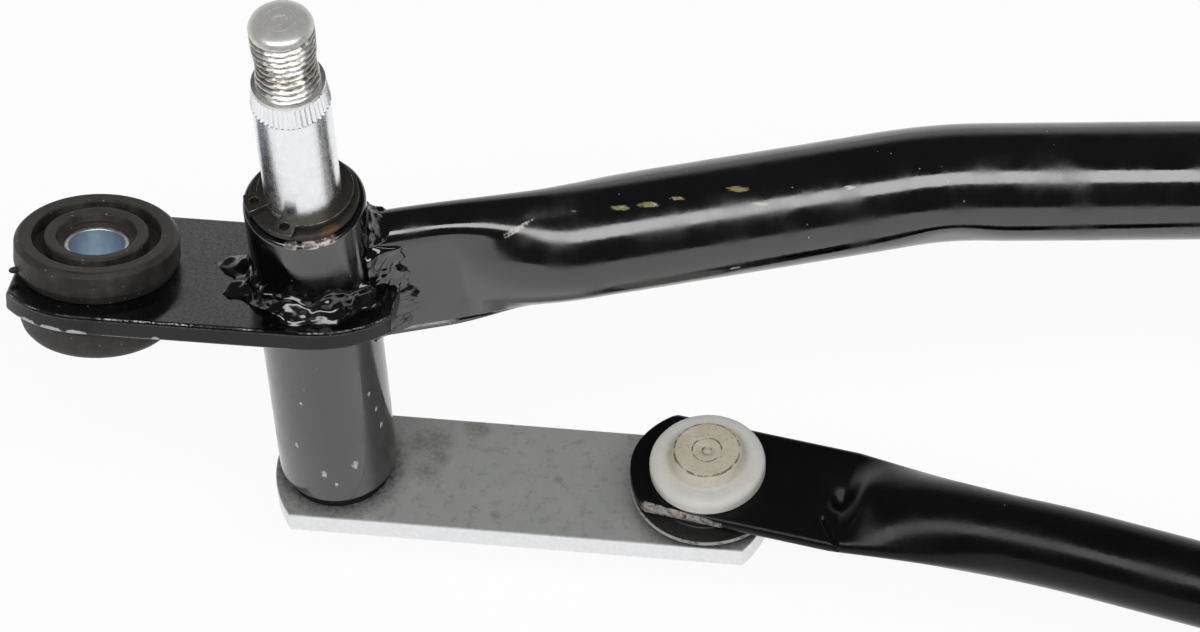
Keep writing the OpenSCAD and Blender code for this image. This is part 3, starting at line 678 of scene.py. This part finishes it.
weld_paint = gloss_black("weld_gloss_black")
for side, seed in zip(SIDES, (3.0, 41.0)):
    skins = pivot_welds(seed)
    if side == "right":
        skins = [
            [[Vector((spindle_gap - p.x, p.y, p.z)) for p in ring] for ring in rings] for rings in skins]
    beads = lofted(f"{side}_weld_beads", skins, crease=50)
    fitted(beads, weld_paint, f"{side}_welds", "frame")
saddle_low, saddle_high = (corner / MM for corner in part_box("saddle_welds"))
saddle_skins = []
for way in (1, -1):
    legs = Vector((0, -way * 0.2, saddle_leg)), Vector((0, -way * saddle_leg, 0.1))
    foot_y = tube_route(tube_half)[1] - way * tube_r
    path = [(Vector((x, foot_y, tube_z + 0.2)), *legs)
            for x in np.arange(saddle_low.x, saddle_high.x, saddle_weld_step)]
    saddle_skins.append(rough_fillet(path, 60.0, 0.6))
beads = lofted("saddle_weld_beads", saddle_skins, crease=50)
fitted(beads, weld_paint, "saddle_welds", "frame")

# Grommets: moulded rubber bushes that sit in the plates' holes and keep the motor's noise from the
# body. The upper flange has a ring groove round its core, and a moulding nub is left on one side.
flange_h, foot_h, sleeve_r = 5.6, 7.6, 5.25
core_r, groove_r, flange_r, foot_r = 8.25, 10.15, 13.15, 12.85
core_lip_r, core_recess, groove_depth = 6.35, 1.3, 2.6
foot_z, groove_z, recess_z = -plate_t - foot_h, flange_h - groove_depth, flange_h - core_recess
nub_r, nub_stand, nub_z, nub_heading = 0.6, 0.3, 1.6, radians(208)


def grommet(name, place):
    outline = filleted([
        (sleeve_r, foot_z, 0.5), (foot_r - 0.5, foot_z, 2.6), (foot_r, -plate_t - 2.2, 0.8),
        (foot_r - 0.3, -plate_t, 0.4), (grommet_hole_r, -plate_t, 0.1), (grommet_hole_r, 0, 0.1),
        (flange_r - 0.6, 0, 0.4), (flange_r, 1.6, 0.7), (flange_r - 0.15, flange_h - 0.75, 0.6),
        (flange_r - 0.9, flange_h, 0.5), (groove_r, flange_h - 0.1, 0.25), (groove_r, groove_z, 0.3),
        (core_r, groove_z, 0.3), (core_r, flange_h, 0.35), (core_lip_r, flange_h - 0.15, 0.3),
        (core_lip_r - 0.2, recess_z, 0.2), (sleeve_r, recess_z, 0.1)], 4)
    piece = turned(name, outline, place, crease=40)
    body = bmesh.new()
    body.from_mesh(piece.data)
    nub_at = flange_r + nub_stand
    root = Vector((nub_at * cos(nub_heading), nub_at * sin(nub_heading), nub_z)) * MM
    nub = (Matrix.Translation(root) @ Matrix.Rotation(nub_heading, 4, "Z")
           @ Matrix.Diagonal((1.6, 0.9, 0.9, 1)))
    bmesh.ops.create_icosphere(body, subdivisions=3, radius=nub_r * MM, matrix=nub)
    body.to_mesh(piece.data)
    body.free()
    smoothed(piece.data, 40)
    return piece


rubber, shader = finish("grommet_rubber", 0.62, Specular_IOR_Level=0.35)
coords = local(shader)
worn = grain(coords, 4, 6, 0.65)
colour = tinted(step(worn, 0.35, 0.75), (0.019, 0.0175, 0.015), (0.05, 0.045, 0.038))
colour = tinted(dust(coords, 1.1, 0.22, 0.2), colour, (0.2, 0.185, 0.155))
feed(shader, "Base Color", colour)
feed(shader, "Roughness", step(worn, -0.5, 1.5))
bumped(shader, grain(coords, 0.5, 5, 0.75), 0.1)
on_arm = on_plate @ Matrix.Translation((-grommet_arm * MM, 0, 0))
grommet_places = {side: to_side(side, on_arm) for side in SIDES}
front_y = mounts["front_grommet_bore"]["pos_m"][1] / MM
grommet_places["front"] = Matrix.Translation(Vector((spindle_gap / 2, front_y, tube_z)) * MM)
for where, place in grommet_places.items():
    fitted(settled(grommet(f"{where}_grommet_moulded", place)), rubber, f"{where}_grommet", "frame")

# Sleeves: short steel tubes pressed into the grommets, so that the mounting bolts can be tightened
# without crushing the rubber. Zinc plated with a blue passivation, and bright where the ends are cut.
sleeve_bore_r = mounts["left_grommet_bore"]["dims"]["r_mm"]
sleeve_low, sleeve_high = foot_z + core_recess, recess_z - 0.6
blue_zinc, shader = finish("sleeve_blue_zinc", 0.3, 1.0)
coords = local(shader)


def from_axis(coords):
    """Distance from the local Z axis."""
    flat = squeezed(coords, (1, 1, 0))
    return node("VectorMath", {0: flat}, operation="LENGTH").outputs["Value"]


blue = tinted(grain(coords, 2.5), (0.5, 0.6, 0.7), (0.64, 0.74, 0.82))
cut_end = step(from_axis(coords), (sleeve_bore_r + 0.08) * MM, (sleeve_bore_r + 0.2) * MM)
feed(shader, "Base Color", tinted(cut_end, blue, (0.85, 0.86, 0.86)))
feed(shader, "Roughness", step(grain(coords, 0.8), -0.6, 1.8))
bumped(shader, grain(coords, 0.25, 3), 0.012)
for where, place in grommet_places.items():
    outline = filleted([(sleeve_bore_r, sleeve_low, 0.2), (sleeve_r, sleeve_low, 0.2),
                        (sleeve_r, sleeve_high, 0.2), (sleeve_bore_r, sleeve_high, 0.25)], 3)
    fitted(turned(f"{where}_sleeve_tube", outline, place, 96), blue_zinc,
           f"{where}_sleeve", "frame")

# Bushes and shaft seals: two sintered bronze bushes pressed into each housing, and a rubber ring
# above the upper one that keeps water out. They are plain rings and show only at the ends.
bronze, shader = finish("bush_bronze", 0.42, 1.0)
coords = local(shader)
pores = grain(coords, 0.6, 6, 0.7)
feed(shader, "Base Color", tinted(pores, (0.3, 0.19, 0.08), (0.66, 0.47, 0.24)))
bumped(shader, grain(coords, 0.15, 3), 0.02)
for side in SIDES:
    for name, material in (("upper_bush", bronze), ("lower_bush", bronze), ("shaft_seal", rubber)):
        coated(frame["nodes"][f"{side}_{name}"], material)

# Spindles: turned steel shafts with a rolled M10 thread and a knurled cone for the wiper arm, a groove
# for the circlip and a spigot riveted over under the crank. Bright zinc, with a worn, dull thread.
spindle_r, thread_r, thread_pitch, thread_depth = 6.0, 5.0, 1.25, 0.62
thread_l, tip_h, nick_depth = 12.2, 1.55, 0.13
waist_at, waist_spread, waist_depth = 4.6, 2.6, 0.3
knurl_h, knurl_band, knurl_teeth, knurl_depth = 4.4, 0.5, 46, 0.24
knurl_r, knurl_top_r = 6.2, 5.66
spigot_r, rivet_r, clip_groove_r = 4.5, 6.25, 5.5
crank_low, crank_top = heights("left_crank")
clip_low, clip_high = heights("left_circlip")
spindle_points = 276
spindle_angles = np.linspace(0, 2 * pi, spindle_points, endpoint=False)


def triangle_wave(turns):
    """0 at whole turns, 1 half way between."""
    return 1 - np.abs(2 * (turns % 1) - 1)


def thread_row(z):
    """Radii round the thread at a height: crests are flattened by wear and thinner half way up."""
    crest = thread_r - waist_depth * lump(z, waist_at, waist_spread)
    fade = np.clip(z / 0.5, 0, 1) * np.clip((thread_l - z) / 0.5, 0, 1)
    groove = np.clip(triangle_wave(z / thread_pitch - spindle_angles / (2 * pi)) * 1.5 - 0.3, 0, 1)
    nicks = np.array([noise.noise(Vector((4 * cos(a), 4 * sin(a), z * 1.6))) for a in spindle_angles])
    return crest - (thread_depth * groove + nick_depth * nicks) * fade


def knurl_row(z):
    """Radii round the knurled cone, whose teeth stop below the plain band at its top."""
    cone = knurl_r + (knurl_top_r - knurl_r) * (z + knurl_h) / knurl_h
    toothed = np.clip((-knurl_band - z) / 0.25, 0, 1) * np.clip((z + knurl_h) / 0.15 + 0.3, 0, 1)
    return cone - knurl_depth * toothed * triangle_wave(spindle_angles * knurl_teeth / (2 * pi))


def spindle(name, place):
    """Rows of (radius, height) from the riveted head up to the centre mark in the tip. Pairs of rows
    close together keep the shading of the plain shaft straight."""
    head, tip = heights("left_spindle")[0], thread_l + tip_h
    rows = [
        (0.01, head), (3.4, head), (4.6, head + 0.2), (6.0, head + 1.0), (rivet_r, crank_low),
        (spigot_r, crank_low), (spigot_r, crank_top), (spindle_r, crank_top), (spindle_r, crank_top + 0.01),
        (spindle_r, clip_low - 0.01), (spindle_r, clip_low), (clip_groove_r, clip_low),
        (clip_groove_r, clip_high), (spindle_r, clip_high), (spindle_r, clip_high + 0.01),
        (spindle_r, -12), (spindle_r, -knurl_h - 0.01)]
    rows += [(knurl_row(z), z) for z in np.linspace(-knurl_h, 0, 30)]
    rows += [(thread_row(z), z) for z in np.linspace(0, thread_l, 118)]
    rows += [(4.92, thread_l + 0.15), (4.8, thread_l + 0.5)]
    rows += [(r, tip - depth) for r, depth in (
        (4.5, 0.72), (4.1, 0.45), (3.6, 0.25), (3.1, 0.12), (2.5, 0.03), (2.42, 0.16), (2.3, 0.18),
        (2.2, 0.04), (1.6, 0), (1.15, 0.02), (1.0, 0.3), (0.85, 0.35), (0.7, 0.28), (0.35, 0.3),
        (0.01, 0.34))]
    rings = [
        np.column_stack([r * np.cos(spindle_angles), r * np.sin(spindle_angles), np.full(spindle_points, z)])
        for r, z in rows]
    return lofted(name, [rings], place, crease=32)


bright_zinc, shader = finish("spindle_bright_zinc", 0.2, 1.0)
coords = local(shader)
height = height_of(coords)
threaded = step(height, -0.9 * MM, 0.2 * MM)
streaks = squeezed(coords, (1, 1, 0.12))
plating = tinted(grain(streaks, 0.5, 5), (0.82, 0.84, 0.86), (0.95, 0.955, 0.96))
dull = tinted(grain(coords, 1.3, 6, 0.7), (0.46, 0.455, 0.43), (0.85, 0.845, 0.82))
below_tip = step(height, thread_l * MM, (thread_l - 0.6) * MM)
groove = step(from_axis(coords), (thread_r - 0.15) * MM, (thread_r - 0.6) * MM)
dirt = times(times(groove, below_tip), step(grain(coords, 0.9, 5), 0.2, 0.6))
dull = tinted(dirt, dull, (0.16, 0.14, 0.105))
feed(shader, "Base Color", tinted(threaded, plating, dull))
roughness = step(grain(coords, 1.2), -0.9, 3.2)
feed(shader, "Roughness", math("ADD", times(threaded, 0.06), roughness))
at_tip = step(height, thread_l * MM, (thread_l + 0.6) * MM)
worn = math("ADD", times(threaded, 0.15), times(at_tip, 0.35))
feed(shader, "Metallic", math("SUBTRACT", 1.0, worn))
bumped(shader, grain(streaks, 0.2, 4), 0.012)
for side in SIDES:
    fitted(spindle(f"{side}_spindle_turned", spindle_place(side)), bright_zinc,
           f"{side}_spindle", f"{side}_pivot")

# Washers: a steel washer between each circlip and its housing, oiled and dark with grime, and a nylon
# thrust washer between the housing and the crank, coloured near black as painted shade for the gap there.
washer_bore_r = spindle_r + skin_gap
grimy, shader = finish("washer_grimy_steel", 0.5, 0.6)
coords = local(shader)
colour = tinted(grain(coords, 0.9, 6, 0.7), (0.02, 0.018, 0.015), (0.075, 0.068, 0.058))
rusty = torn(spots(coords, [(4.6, -7.2, 0.6, 3.4)]), grain(coords, 1.0, 6, 0.7), 0.2, 0.4)
feed(shader, "Base Color", tinted(rusty, colour, (0.13, 0.075, 0.045)))
bumped(shader, grain(coords, 0.4, 5), 0.03)
# painted shade: the thrust washer's near-black colour stands in for the shade in the gap between housing and crank
nylon_painted_shade, shader = finish("washer_nylon_painted_shade", 0.6, Specular_IOR_Level=0.15)
coords = local(shader)
feed(shader, "Base Color", tinted(grain(coords, 1.5), (0.004, 0.004, 0.004), (0.012, 0.012, 0.011)))
bumped(shader, grain(coords, 0.4, 3), 0.01)
washers = (("top_washer", grimy, "zinc_plate"), ("thrust_washer", nylon_painted_shade, "nylon"))
for side in SIDES:
    for name, material, slot in washers:
        low, high = heights(f"{side}_{name}")
        washer_r, washer_t = outer_r(f"{side}_{name}"), high - low
        outline = filleted([(washer_bore_r, 0, 0.05), (washer_r, 0, 0.2),
                            (washer_r, washer_t, 0.25), (washer_bore_r, washer_t, 0.05)], 3)
        fitted(turned(f"{side}_{name}_cut", outline, spindle_place(side, low)), material,
               f"{side}_{name}", f"{side}_pivot")

# Circlips: sprung retaining rings, stamped from blackened steel, that snap into the spindle's groove.
# Each thins towards its gap and ends in two drilled lugs for the pliers.
clip_r, clip_bore_r, clip_offset = 7.51, clip_groove_r + skin_gap, 0.45
clip_heading, clip_edge = radians(-136), 0.16
lug_turn, lug_half, lug_blend = radians(27.5), radians(14), radians(3.5)
lug_reach, lug_hole_r, lug_hole_at = 9.25, 0.78, 7.65


def clip_outer(a):
    """Outer radius at an angle from the middle of the gap: an offset circle, stepped out at the lugs."""
    ring = -clip_offset * cos(a) + sqrt(clip_r ** 2 - (clip_offset * sin(a)) ** 2)
    past_lug = min(a, 2 * pi - a) - lug_turn
    stand = np.clip((lug_half - past_lug) / lug_blend, 0, 1) if past_lug > 0 else 1
    return ring + (lug_reach - ring) * (3 * stand ** 2 - 2 * stand ** 3)


def circlip_outlines(flip):
    def at(r, a):
        return flip * r * cos(a + clip_heading), r * sin(a + clip_heading)

    gap = lug_turn - lug_half * 0.9
    sweep = np.linspace(gap, 2 * pi - gap, 240)
    ring = [at(clip_outer(a), a) for a in sweep] + [at(clip_bore_r, a) for a in reversed(sweep)]
    return [ring, *(circle(*at(lug_hole_at, s * lug_turn), lug_hole_r, 28) for s in (1, -1))]


spring, shader = finish("circlip_black_spring", 0.42, 0.5)
coords = local(shader)
rubbed = edge_wear(coords, 0.42, 0.62, 1.0)
colour = tinted(grain(coords, 0.8, 6, 0.7), (0.018, 0.016, 0.013), (0.06, 0.054, 0.046))
feed(shader, "Base Color", tinted(rubbed, colour, (0.32, 0.3, 0.27)))
bumped(shader, grain(coords, 0.3, 5), 0.03)
for side, flip in flips.items():
    clip = stamped(f"{side}_circlip_sprung", circlip_outlines(flip), clip_high - clip_low, clip_edge,
                   spindle_place(side, clip_high))
    fitted(clip, spring, f"{side}_circlip", f"{side}_pivot")

# Cranks: flat bars sheared from steel, with round ends, riveted to the spindle and to the ball stud.
# Dull zinc plating with stains, painted shade and dark reflection round both ends, and brighter where the edges
# were sheared.
crank_l, crank_w, crank_end_r, crank_overhang = 60.8, 22.0, 18.0, 10.4
crank_rest, crank_edge = radians(6), 0.3
shank_r = 3.51


def arc_ended(length, width, end_r, overhang):
    """Bar outline whose round ends meet its straight sides at corners."""
    centre, half = end_r - overhang, width / 2
    span = np.arcsin(half / end_r)
    right = [(length - centre + end_r * cos(a), end_r * sin(a)) for a in np.linspace(-span, span, 24)]
    left = [(centre - end_r * cos(a), end_r * sin(a)) for a in np.linspace(span, -span, 24)]
    return right + left


dull_zinc, shader = finish("crank_dull_zinc", 0.4, 0.62)
coords = local(shader)
cloudy = tinted(grain(coords, 9, 3, 0.5), (0.53, 0.545, 0.53), (0.63, 0.64, 0.62))
mottled = step(grain(coords, 2.2, 6, 0.75), 0.5, 0.3)
cloudy = tinted(mottled, cloudy, (0.41, 0.42, 0.41))
sparkling = step(grain(coords, 0.6, 3), 0.55, 0.85)
cloudy = tinted(sparkling, cloudy, (0.66, 0.67, 0.66))
stain = spots(coords, [(x, y, 0, spread) for x, y, spread in (
    (15, 6, 7), (12.5, 5.5, 5.5), (21.5, 9.4, 5), (14.4, 0, 6), (16, 3, 5), (26.8, -7.7, 2.2), (36, 0.4, 2))])
stain = times(torn(stain, grain(coords, 0.7, 5, 0.8), 0.2, 0.62), 0.5)
stain = most(stain, dust(coords, 2.4, 0.06, 0.14))
cloudy = tinted(stain, cloudy, (0.16, 0.12, 0.08))
# painted shade and reflection: the zinc is darkened round the spindle, where the black housing is mirrored, and
# round the ball end, in the seal's shade
painted_shade_and_reflection = spots(coords, [(0, 0, 0, 16), (crank_l, 0, 0, 18)])
painted_shade_and_reflection = torn(painted_shade_and_reflection, grain(coords, 0.8, 5, 0.8), 0.04, 0.3)
cloudy = tinted(painted_shade_and_reflection, cloudy, (0.1, 0.1, 0.1))
level = math("ABSOLUTE", height_of(local(coords, "Normal")))
sheared = step(level, 0.8, 0.4)
shine = tinted(grain(coords, 0.8, 4), (0.74, 0.75, 0.77), (0.92, 0.93, 0.94))
feed(shader, "Base Color", tinted(sheared, cloudy, shine))
feed(shader, "Roughness", step(grain(coords, 0.5, 4), -2.6, 4.6))
bumped(shader, grain(coords, 0.22, 4, 0.6), 0.012)
crank_turns = {"left": -crank_rest, "right": pi + crank_rest}
crank_outlines = [arc_ended(crank_l, crank_w, crank_end_r, crank_overhang),
                  circle(0, 0, spigot_r + skin_gap), circle(crank_l, 0, shank_r)]
for side in SIDES:
    place = spindle_place(side, crank_top) @ Matrix.Rotation(crank_turns[side], 4, "Z")
    bar = stamped(f"{side}_crank_bar", crank_outlines, crank_top - crank_low, crank_edge, place)
    fitted(bar, dull_zinc, f"{side}_crank", f"{side}_pivot")

# Ball studs: turned steel balls on a neck, riveted into the crank. They sit inside the nylon sockets,
# so only the riveted heads show.
stud_steel, shader = finish("stud_dull_steel", 0.42, 0.75)
coords = local(shader)
feed(shader, "Base Color", tinted(grain(coords, 0.7, 5), (0.5, 0.5, 0.5), (0.72, 0.72, 0.72)))
bumped(shader, grain(coords, 0.2, 3), 0.01)
for side in SIDES:
    coated(frame["nodes"][f"{side}_ball_stud"], stud_steel)

# Drive links: thin steel tubes with both ends pressed flat for a ball socket, slightly bent. Coated
# satin black. The press leaves a crease, a round dimple and a fold, and the first edge is scraped bare.
link_r, link_flat_t, link_edge_r = 6.7, 2.4, 1.15
link_span, link_crease, link_round, link_power = 262.0, 22.8, 50.0, 2.9
link_bow, link_run, link_bend_r = radians(3.5), 60.0, 240.0
link_end_r, link_overhang, link_rest = 12.8, 12.6, radians(18.7)
dimple_at, dimple_l, dimple_side, dimple_w, dimple_depth = 22.4, 1.7, -0.4, 1.9, 1.8
nose_at, nose_l, nose_side, nose_w, nose_rise = 26.4, 2.6, -0.2, 4.6, 1.5
fold_at, fold_slant, fold_side, fold_w, fold_depth = 20.6, 0.75, 5, 0.45, 0.5
ball_z = 5.6
link_width = 4 * link_edge_r - link_flat_t + pi * (link_r - link_edge_r)
half_w, half_flat = link_width / 2, link_flat_t / 2
link_flat = evenly(filleted([
    (half_w, 0, 0), (half_w, half_flat, link_edge_r), (-half_w, half_flat, link_edge_r),
    (-half_w, -half_flat, link_edge_r), (half_w, -half_flat, link_edge_r)]), tube_points)
link_tube = link_r * unit_circle
left_ball = Vector(next(joint["pos_m"] for joint in frame["joints"] if joint["name"] == "left_ball_turn"))
left_link_place = (Matrix.Translation(left_ball - Vector((0, 0, ball_z * MM)))
                   @ Matrix.Rotation(-link_rest, 4, "Z"))
turn_over = (Matrix.Translation(Vector((spindle_gap, 0, crank_low + crank_top)) * MM)
             @ Matrix.Rotation(pi, 4, "Y"))
link_places = {"left": left_link_place, "right": turn_over @ left_link_place}


def link_route(along):
    return bent_route(along, link_bow, link_run, link_bend_r)


def link_ring(along):
    """Section of the link: the flat narrows in an arc at its end and opens to the round past the crease."""
    share = np.clip((along - link_crease) / (link_round - link_crease), 0, 1)
    rise = 1 - (1 - share) ** link_power
    across = link_flat[:, 0] * (1 - share) + link_tube[:, 0] * share
    up = link_flat[:, 1] * (1 - rise) + link_tube[:, 1] * rise
    from_centre = link_end_r - link_overhang - along
    if from_centre > 0:
        limit = sqrt(max(link_end_r ** 2 - from_centre ** 2, 0.04))
        across = across * min(1, limit / half_w)
    dimple = dimple_depth * lump(along, dimple_at, dimple_l) * lump(across, dimple_side, dimple_w)
    nose = nose_rise * lump(along, nose_at, nose_l) * lump(across, nose_side, nose_w)
    fold_line = fold_at - fold_slant * (across + fold_side)
    fold = fold_depth * lump(along, fold_line, fold_w) * np.clip((0.6 - fold_side - across) / 0.6, 0, 1)
    pressed_up = up + np.where(up > 0, nose - dimple - fold, 0)
    return laid_across(zip(across, pressed_up), *link_route(along), ball_z)


def link_rod(name, place):
    half = half_way(link_route, link_run, link_span)
    stops = np.concatenate([
        -link_overhang + 12 * (1 - np.cos(np.linspace(0.06, pi / 2, 20))), np.linspace(0, 18, 12),
        np.linspace(18.3, 31, 44), np.linspace(31.5, link_round, 22),
        np.arange(link_round + 2.5, link_run + 30, 2.5), np.linspace(link_run + 34, half, 8)])
    rings = with_mirror([link_ring(stop) for stop in stops], link_span)
    return lofted(name, [rings], place, crease=30)


satin, shader = finish("link_satin_black", 0.32, Specular_IOR_Level=0.2)
coords = local(shader)
haze = grain(coords, 12)
colour = tinted(haze, (0.002, 0.002, 0.002), (0.005, 0.005, 0.005))
colour = tinted(dust(coords, 1.8, 0.06, 0.15), colour, (0.2, 0.2, 0.19))
along, sideways, _ = node("SeparateXYZ", {0: coords}).outputs
by_ball = times(step(along, -10 * MM, -7 * MM), step(along, 7.5 * MM, 5 * MM))
bare = times(by_ball, step(sideways, (0.9 - half_w) * MM, (0.3 - half_w) * MM))
bare = torn(bare, grain(coords, 0.9, 6, 0.8), 0.33, 0.55)
scraped = tinted(grain(coords, 0.7, 5), (0.05, 0.045, 0.036), (0.5, 0.475, 0.44))
feed(shader, "Base Color", tinted(bare, colour, scraped))
feed(shader, "Roughness", step(math("ADD", haze, times(bare, 0.3)), -0.25, 2.15))
bumped(shader, math("ADD", grain(coords, 0.6, 3), times(bare, 0.5)), 0.02)
for side in SIDES:
    fitted(link_rod(f"{side}_link_tube", link_places[side]), satin,
           f"{side}_link_rod", f"{side}_link")

# Ball sockets: cups moulded from natural nylon and snapped into the links' ends, greasy and yellowed in
# the middle. A crown with a ring line and the gate's mark stands on the flange.
link_top, link_under = ball_z + half_flat, ball_z - half_flat
cup_r, barrel_r, socket_flange_r, snap_r = 5.06, 6.96, 9.36, 7.56
flange_top, crown_top, crown_r = link_top + 2.8, 11.9, 5.4
crown_line_r, ring_line_r, gate_r = crown_r - 0.12, 2.36, 0.75
seal_top = 3.4


def ball_socket(name, place):
    cup_end = -np.arcsin((ball_z - seal_top) / cup_r)
    cup = [(cup_r * cos(a), ball_z + cup_r * sin(a)) for a in np.linspace(radians(89), cup_end, 28)]
    outside = filleted([
        (snap_r, seal_top, 0.25), (snap_r, link_under, 0.1), (barrel_r, link_under, 0.05),
        (barrel_r, link_top, 0.05), (socket_flange_r, link_top, 0.3),
        (socket_flange_r, flange_top - 0.35, 1.1), (socket_flange_r - 1.4, flange_top, 0.8),
        (crown_r + 1.0, flange_top + 0.05, 0.6),
        (crown_r + 0.1, crown_top - 0.12, 0.3), (crown_line_r, crown_top - 0.2, 0.1),
        (crown_r - 0.3, crown_top, 0.2), (ring_line_r + 0.15, crown_top, 0.12),
        (ring_line_r, crown_top - 0.14, 0.1), (ring_line_r - 0.2, crown_top - 0.02, 0.12),
        (1.3, crown_top - 0.1, 0.3), (gate_r, crown_top - 0.42, 0.2), (0.35, crown_top - 0.36, 0.1),
        (0.01, crown_top - 0.22, 0)], 4)
    return turned(name, [*outside, *cup], place, 120, 40)


nylon, shader = finish("socket_nylon", 0.36, Subsurface_Weight=0.25, Subsurface_Scale=0.002,
                             Specular_IOR_Level=0.45)
coords = local(shader)
reach = from_axis(coords)
cloud = grain(coords, 3, 5)
milky = tinted(cloud, (0.53, 0.52, 0.49), (0.63, 0.625, 0.6))
yellowed = times(step(reach, 7.6 * MM, 5.2 * MM), step(cloud, 0.1, 0.7))
milky = tinted(yellowed, milky, (0.47, 0.42, 0.3))
speckle = step(grain(coords, 0.55, 6, 0.8), 0.54, 0.7)
speckle = times(speckle, step(reach, 9 * MM, 4.5 * MM))
milky = tinted(speckle, milky, (0.2, 0.15, 0.085))
lines = 0.0
for line_r, width in ((crown_line_r, 0.26), (ring_line_r, 0.2), (gate_r, 0.26)):
    offset = math("ABSOLUTE", math("SUBTRACT", reach, line_r * MM))
    lines = most(lines, step(offset, width * MM, 0.3 * width * MM))
lines = times(lines, step(grain(coords, 1.6, 5, 0.7), 0.42, 0.56))
feed(shader, "Base Color", tinted(times(lines, 0.85), milky, (0.07, 0.055, 0.035)))
feed(shader, "Roughness", step(cloud, -0.7, 1.7))
bumped(shader, grain(coords, 0.8, 5), 0.03)
far_end = Matrix.Translation((link_span * MM, 0, 0)) @ Matrix.Rotation(pi, 4, "Z")
link_ends = {"pivot": Matrix(), "motor": far_end}
for side in SIDES:
    for end, shift in link_ends.items():
        fitted(ball_socket(f"{side}_{end}_socket_cup", link_places[side] @ shift), nylon,
               f"{side}_{end}_socket", f"{side}_link")

# Dust seals: black rubber rings clipped round the sockets under the links. Their foot wipes the crank and
# a thin lip stands out from it, with a painted highlight along its outer edge.
seal_r, seal_lip_t, seal_foot_r, seal_collar_r, seal_play = 12.6, 0.9, 5.4, 9.17, 0.15
seal_bore_r, lip_under = snap_r + skin_gap, seal_top - seal_lip_t


def dust_seal(name, place):
    outline = filleted([
        (seal_foot_r, seal_play, 0.2), (seal_collar_r, seal_play, 0.5), (seal_collar_r, lip_under, 0.4),
        (seal_r - 0.35, lip_under, 0.3), (seal_r, seal_top - 0.35, 0.25), (seal_r - 0.25, seal_top, 0.2),
        (seal_collar_r, seal_top - 0.2, 0.3), (seal_collar_r, link_under, 0.2),
        (seal_bore_r, link_under, 0.1), (seal_bore_r, seal_top, 0.05), (seal_foot_r, seal_top, 0.1)], 4)
    return turned(name, outline, place, 128, 40)


rubber_with_painted_lip, shader = finish("seal_rubber_painted_lip", 0.4, Specular_IOR_Level=0.5)
coords = local(shader)
at_lip = step(from_axis(coords), (seal_r - 0.42) * MM, (seal_r - 0.18) * MM)
# painted highlight: a pale broken band along the outer edge of the lip, where the light catches it
painted_lip_highlight = times(at_lip, step(grain(coords, 1.2, 4), 0.25, 0.5))
black = tinted(grain(coords, 1.5, 5), (0.008, 0.008, 0.008), (0.025, 0.024, 0.022))
black = tinted(dust(coords, 1.2, 0.12, 0.14), black, (0.22, 0.2, 0.17))
feed(shader, "Base Color", tinted(painted_lip_highlight, black, (0.3, 0.3, 0.29)))
bumped(shader, grain(coords, 0.4, 4), 0.03)
for side in SIDES:
    for end, shift in link_ends.items():
        fitted(dust_seal(f"{side}_{end}_seal_ring", link_places[side] @ shift), rubber_with_painted_lip,
               f"{side}_{end}_seal", f"{side}_link")

# Studio: a plain white floor just under the linkage, a long soft box above and in front of it, a white
# sweep behind that shows in reflections, and an even fill. The camera is a long lens above the front,
# as in the photograph.
floor_half, floor_drop, floor_glow = 3.0, 0.0005, 0.93
fill_glow, dark_glow, sweep_glow = 0.3, 0.05, 0.62
box_place, box_aim = Vector((0.15, -0.85, 1.4)), Vector((0.15, 0, -0.05))
box_width, box_depth, box_power = 2.6, 0.68, 27
eye_place, eye_turn = Vector((88.19, -538.542, 620.779)) * MM, (38.4764, 2.5256, 1.4855)
floor_z = cad_box[0].z - floor_drop
floor_mesh = bpy.data.meshes.new("floor")
floor_corners = [(x * floor_half, y * floor_half, floor_z) for x, y in ((-1, -1), (1, -1), (1, 1), (-1, 1))]
floor_mesh.from_pydata(floor_corners, [], [(0, 1, 2, 3)])
floor = placed("floor", floor_mesh)


def seen_directly(tree):
    """1 for rays that show the background: from the camera, in a reflection or through glass."""
    path = node("LightPath", {}, tree).outputs
    return most(most(path["Is Camera Ray"], path["Is Glossy Ray"]), path["Is Transmission Ray"])


white, shader = finish("floor_white", 0.9)
tree = white.node_tree
shader.inputs["Base Color"].default_value = (0.9, 0.9, 0.9, 1)
glow = node("Emission", {"Color": (1, 1, 1, 1), "Strength": 1.0}, tree)
lit = times(seen_directly(tree), floor_glow)
mix = node("MixShader", {0: lit, 1: shader.outputs[0], 2: glow.outputs[0]})
tree.links.new(mix.outputs[0], tree.nodes["Material Output"].inputs["Surface"])
floor_mesh.materials.append(white)

world = bpy.data.worlds.new("studio")
bpy.context.scene.world = world
world.use_nodes = True
tree = world.node_tree
path = node("LightPath", {}, tree).outputs
toward = node("SeparateXYZ", {0: node("TexCoord", {}, tree).outputs["Generated"]}).outputs
sweep = times(step(toward["Y"], -0.1, 0.6), step(toward["Z"], 0.5, 0.2))
mirrored_sky = math("ADD", dark_glow, times(sweep, sweep_glow))
plain_sky = math("ADD", fill_glow, times(path["Is Camera Ray"], 1 - fill_glow))
strength = node("Mix", {0: path["Is Glossy Ray"], 2: plain_sky, 3: mirrored_sky}).outputs[0]
backdrop = node("Background", {"Color": (1, 1, 1, 1), "Strength": strength})
tree.links.new(backdrop.outputs[0], tree.nodes["World Output"].inputs["Surface"])

lamp = bpy.data.lights.new("key_light", "AREA")
lamp.shape, lamp.size, lamp.size_y, lamp.energy = "RECTANGLE", box_width, box_depth, box_power
box = placed("key_light", lamp)
box.location = box_place
box.rotation_euler = (box_aim - box_place).to_track_quat("-Z", "Y").to_euler()
camera = bpy.data.cameras.new("camera")
camera.lens, camera.sensor_width = 165, 36
camera.clip_start, camera.clip_end = 0.01, 50
aimed = Euler([radians(angle) for angle in eye_turn]).to_matrix().to_4x4()
bpy.context.scene.camera = placed("camera", camera, Matrix.Translation(eye_place) @ aimed)
bpy.context.scene.view_settings.view_transform = "Standard"
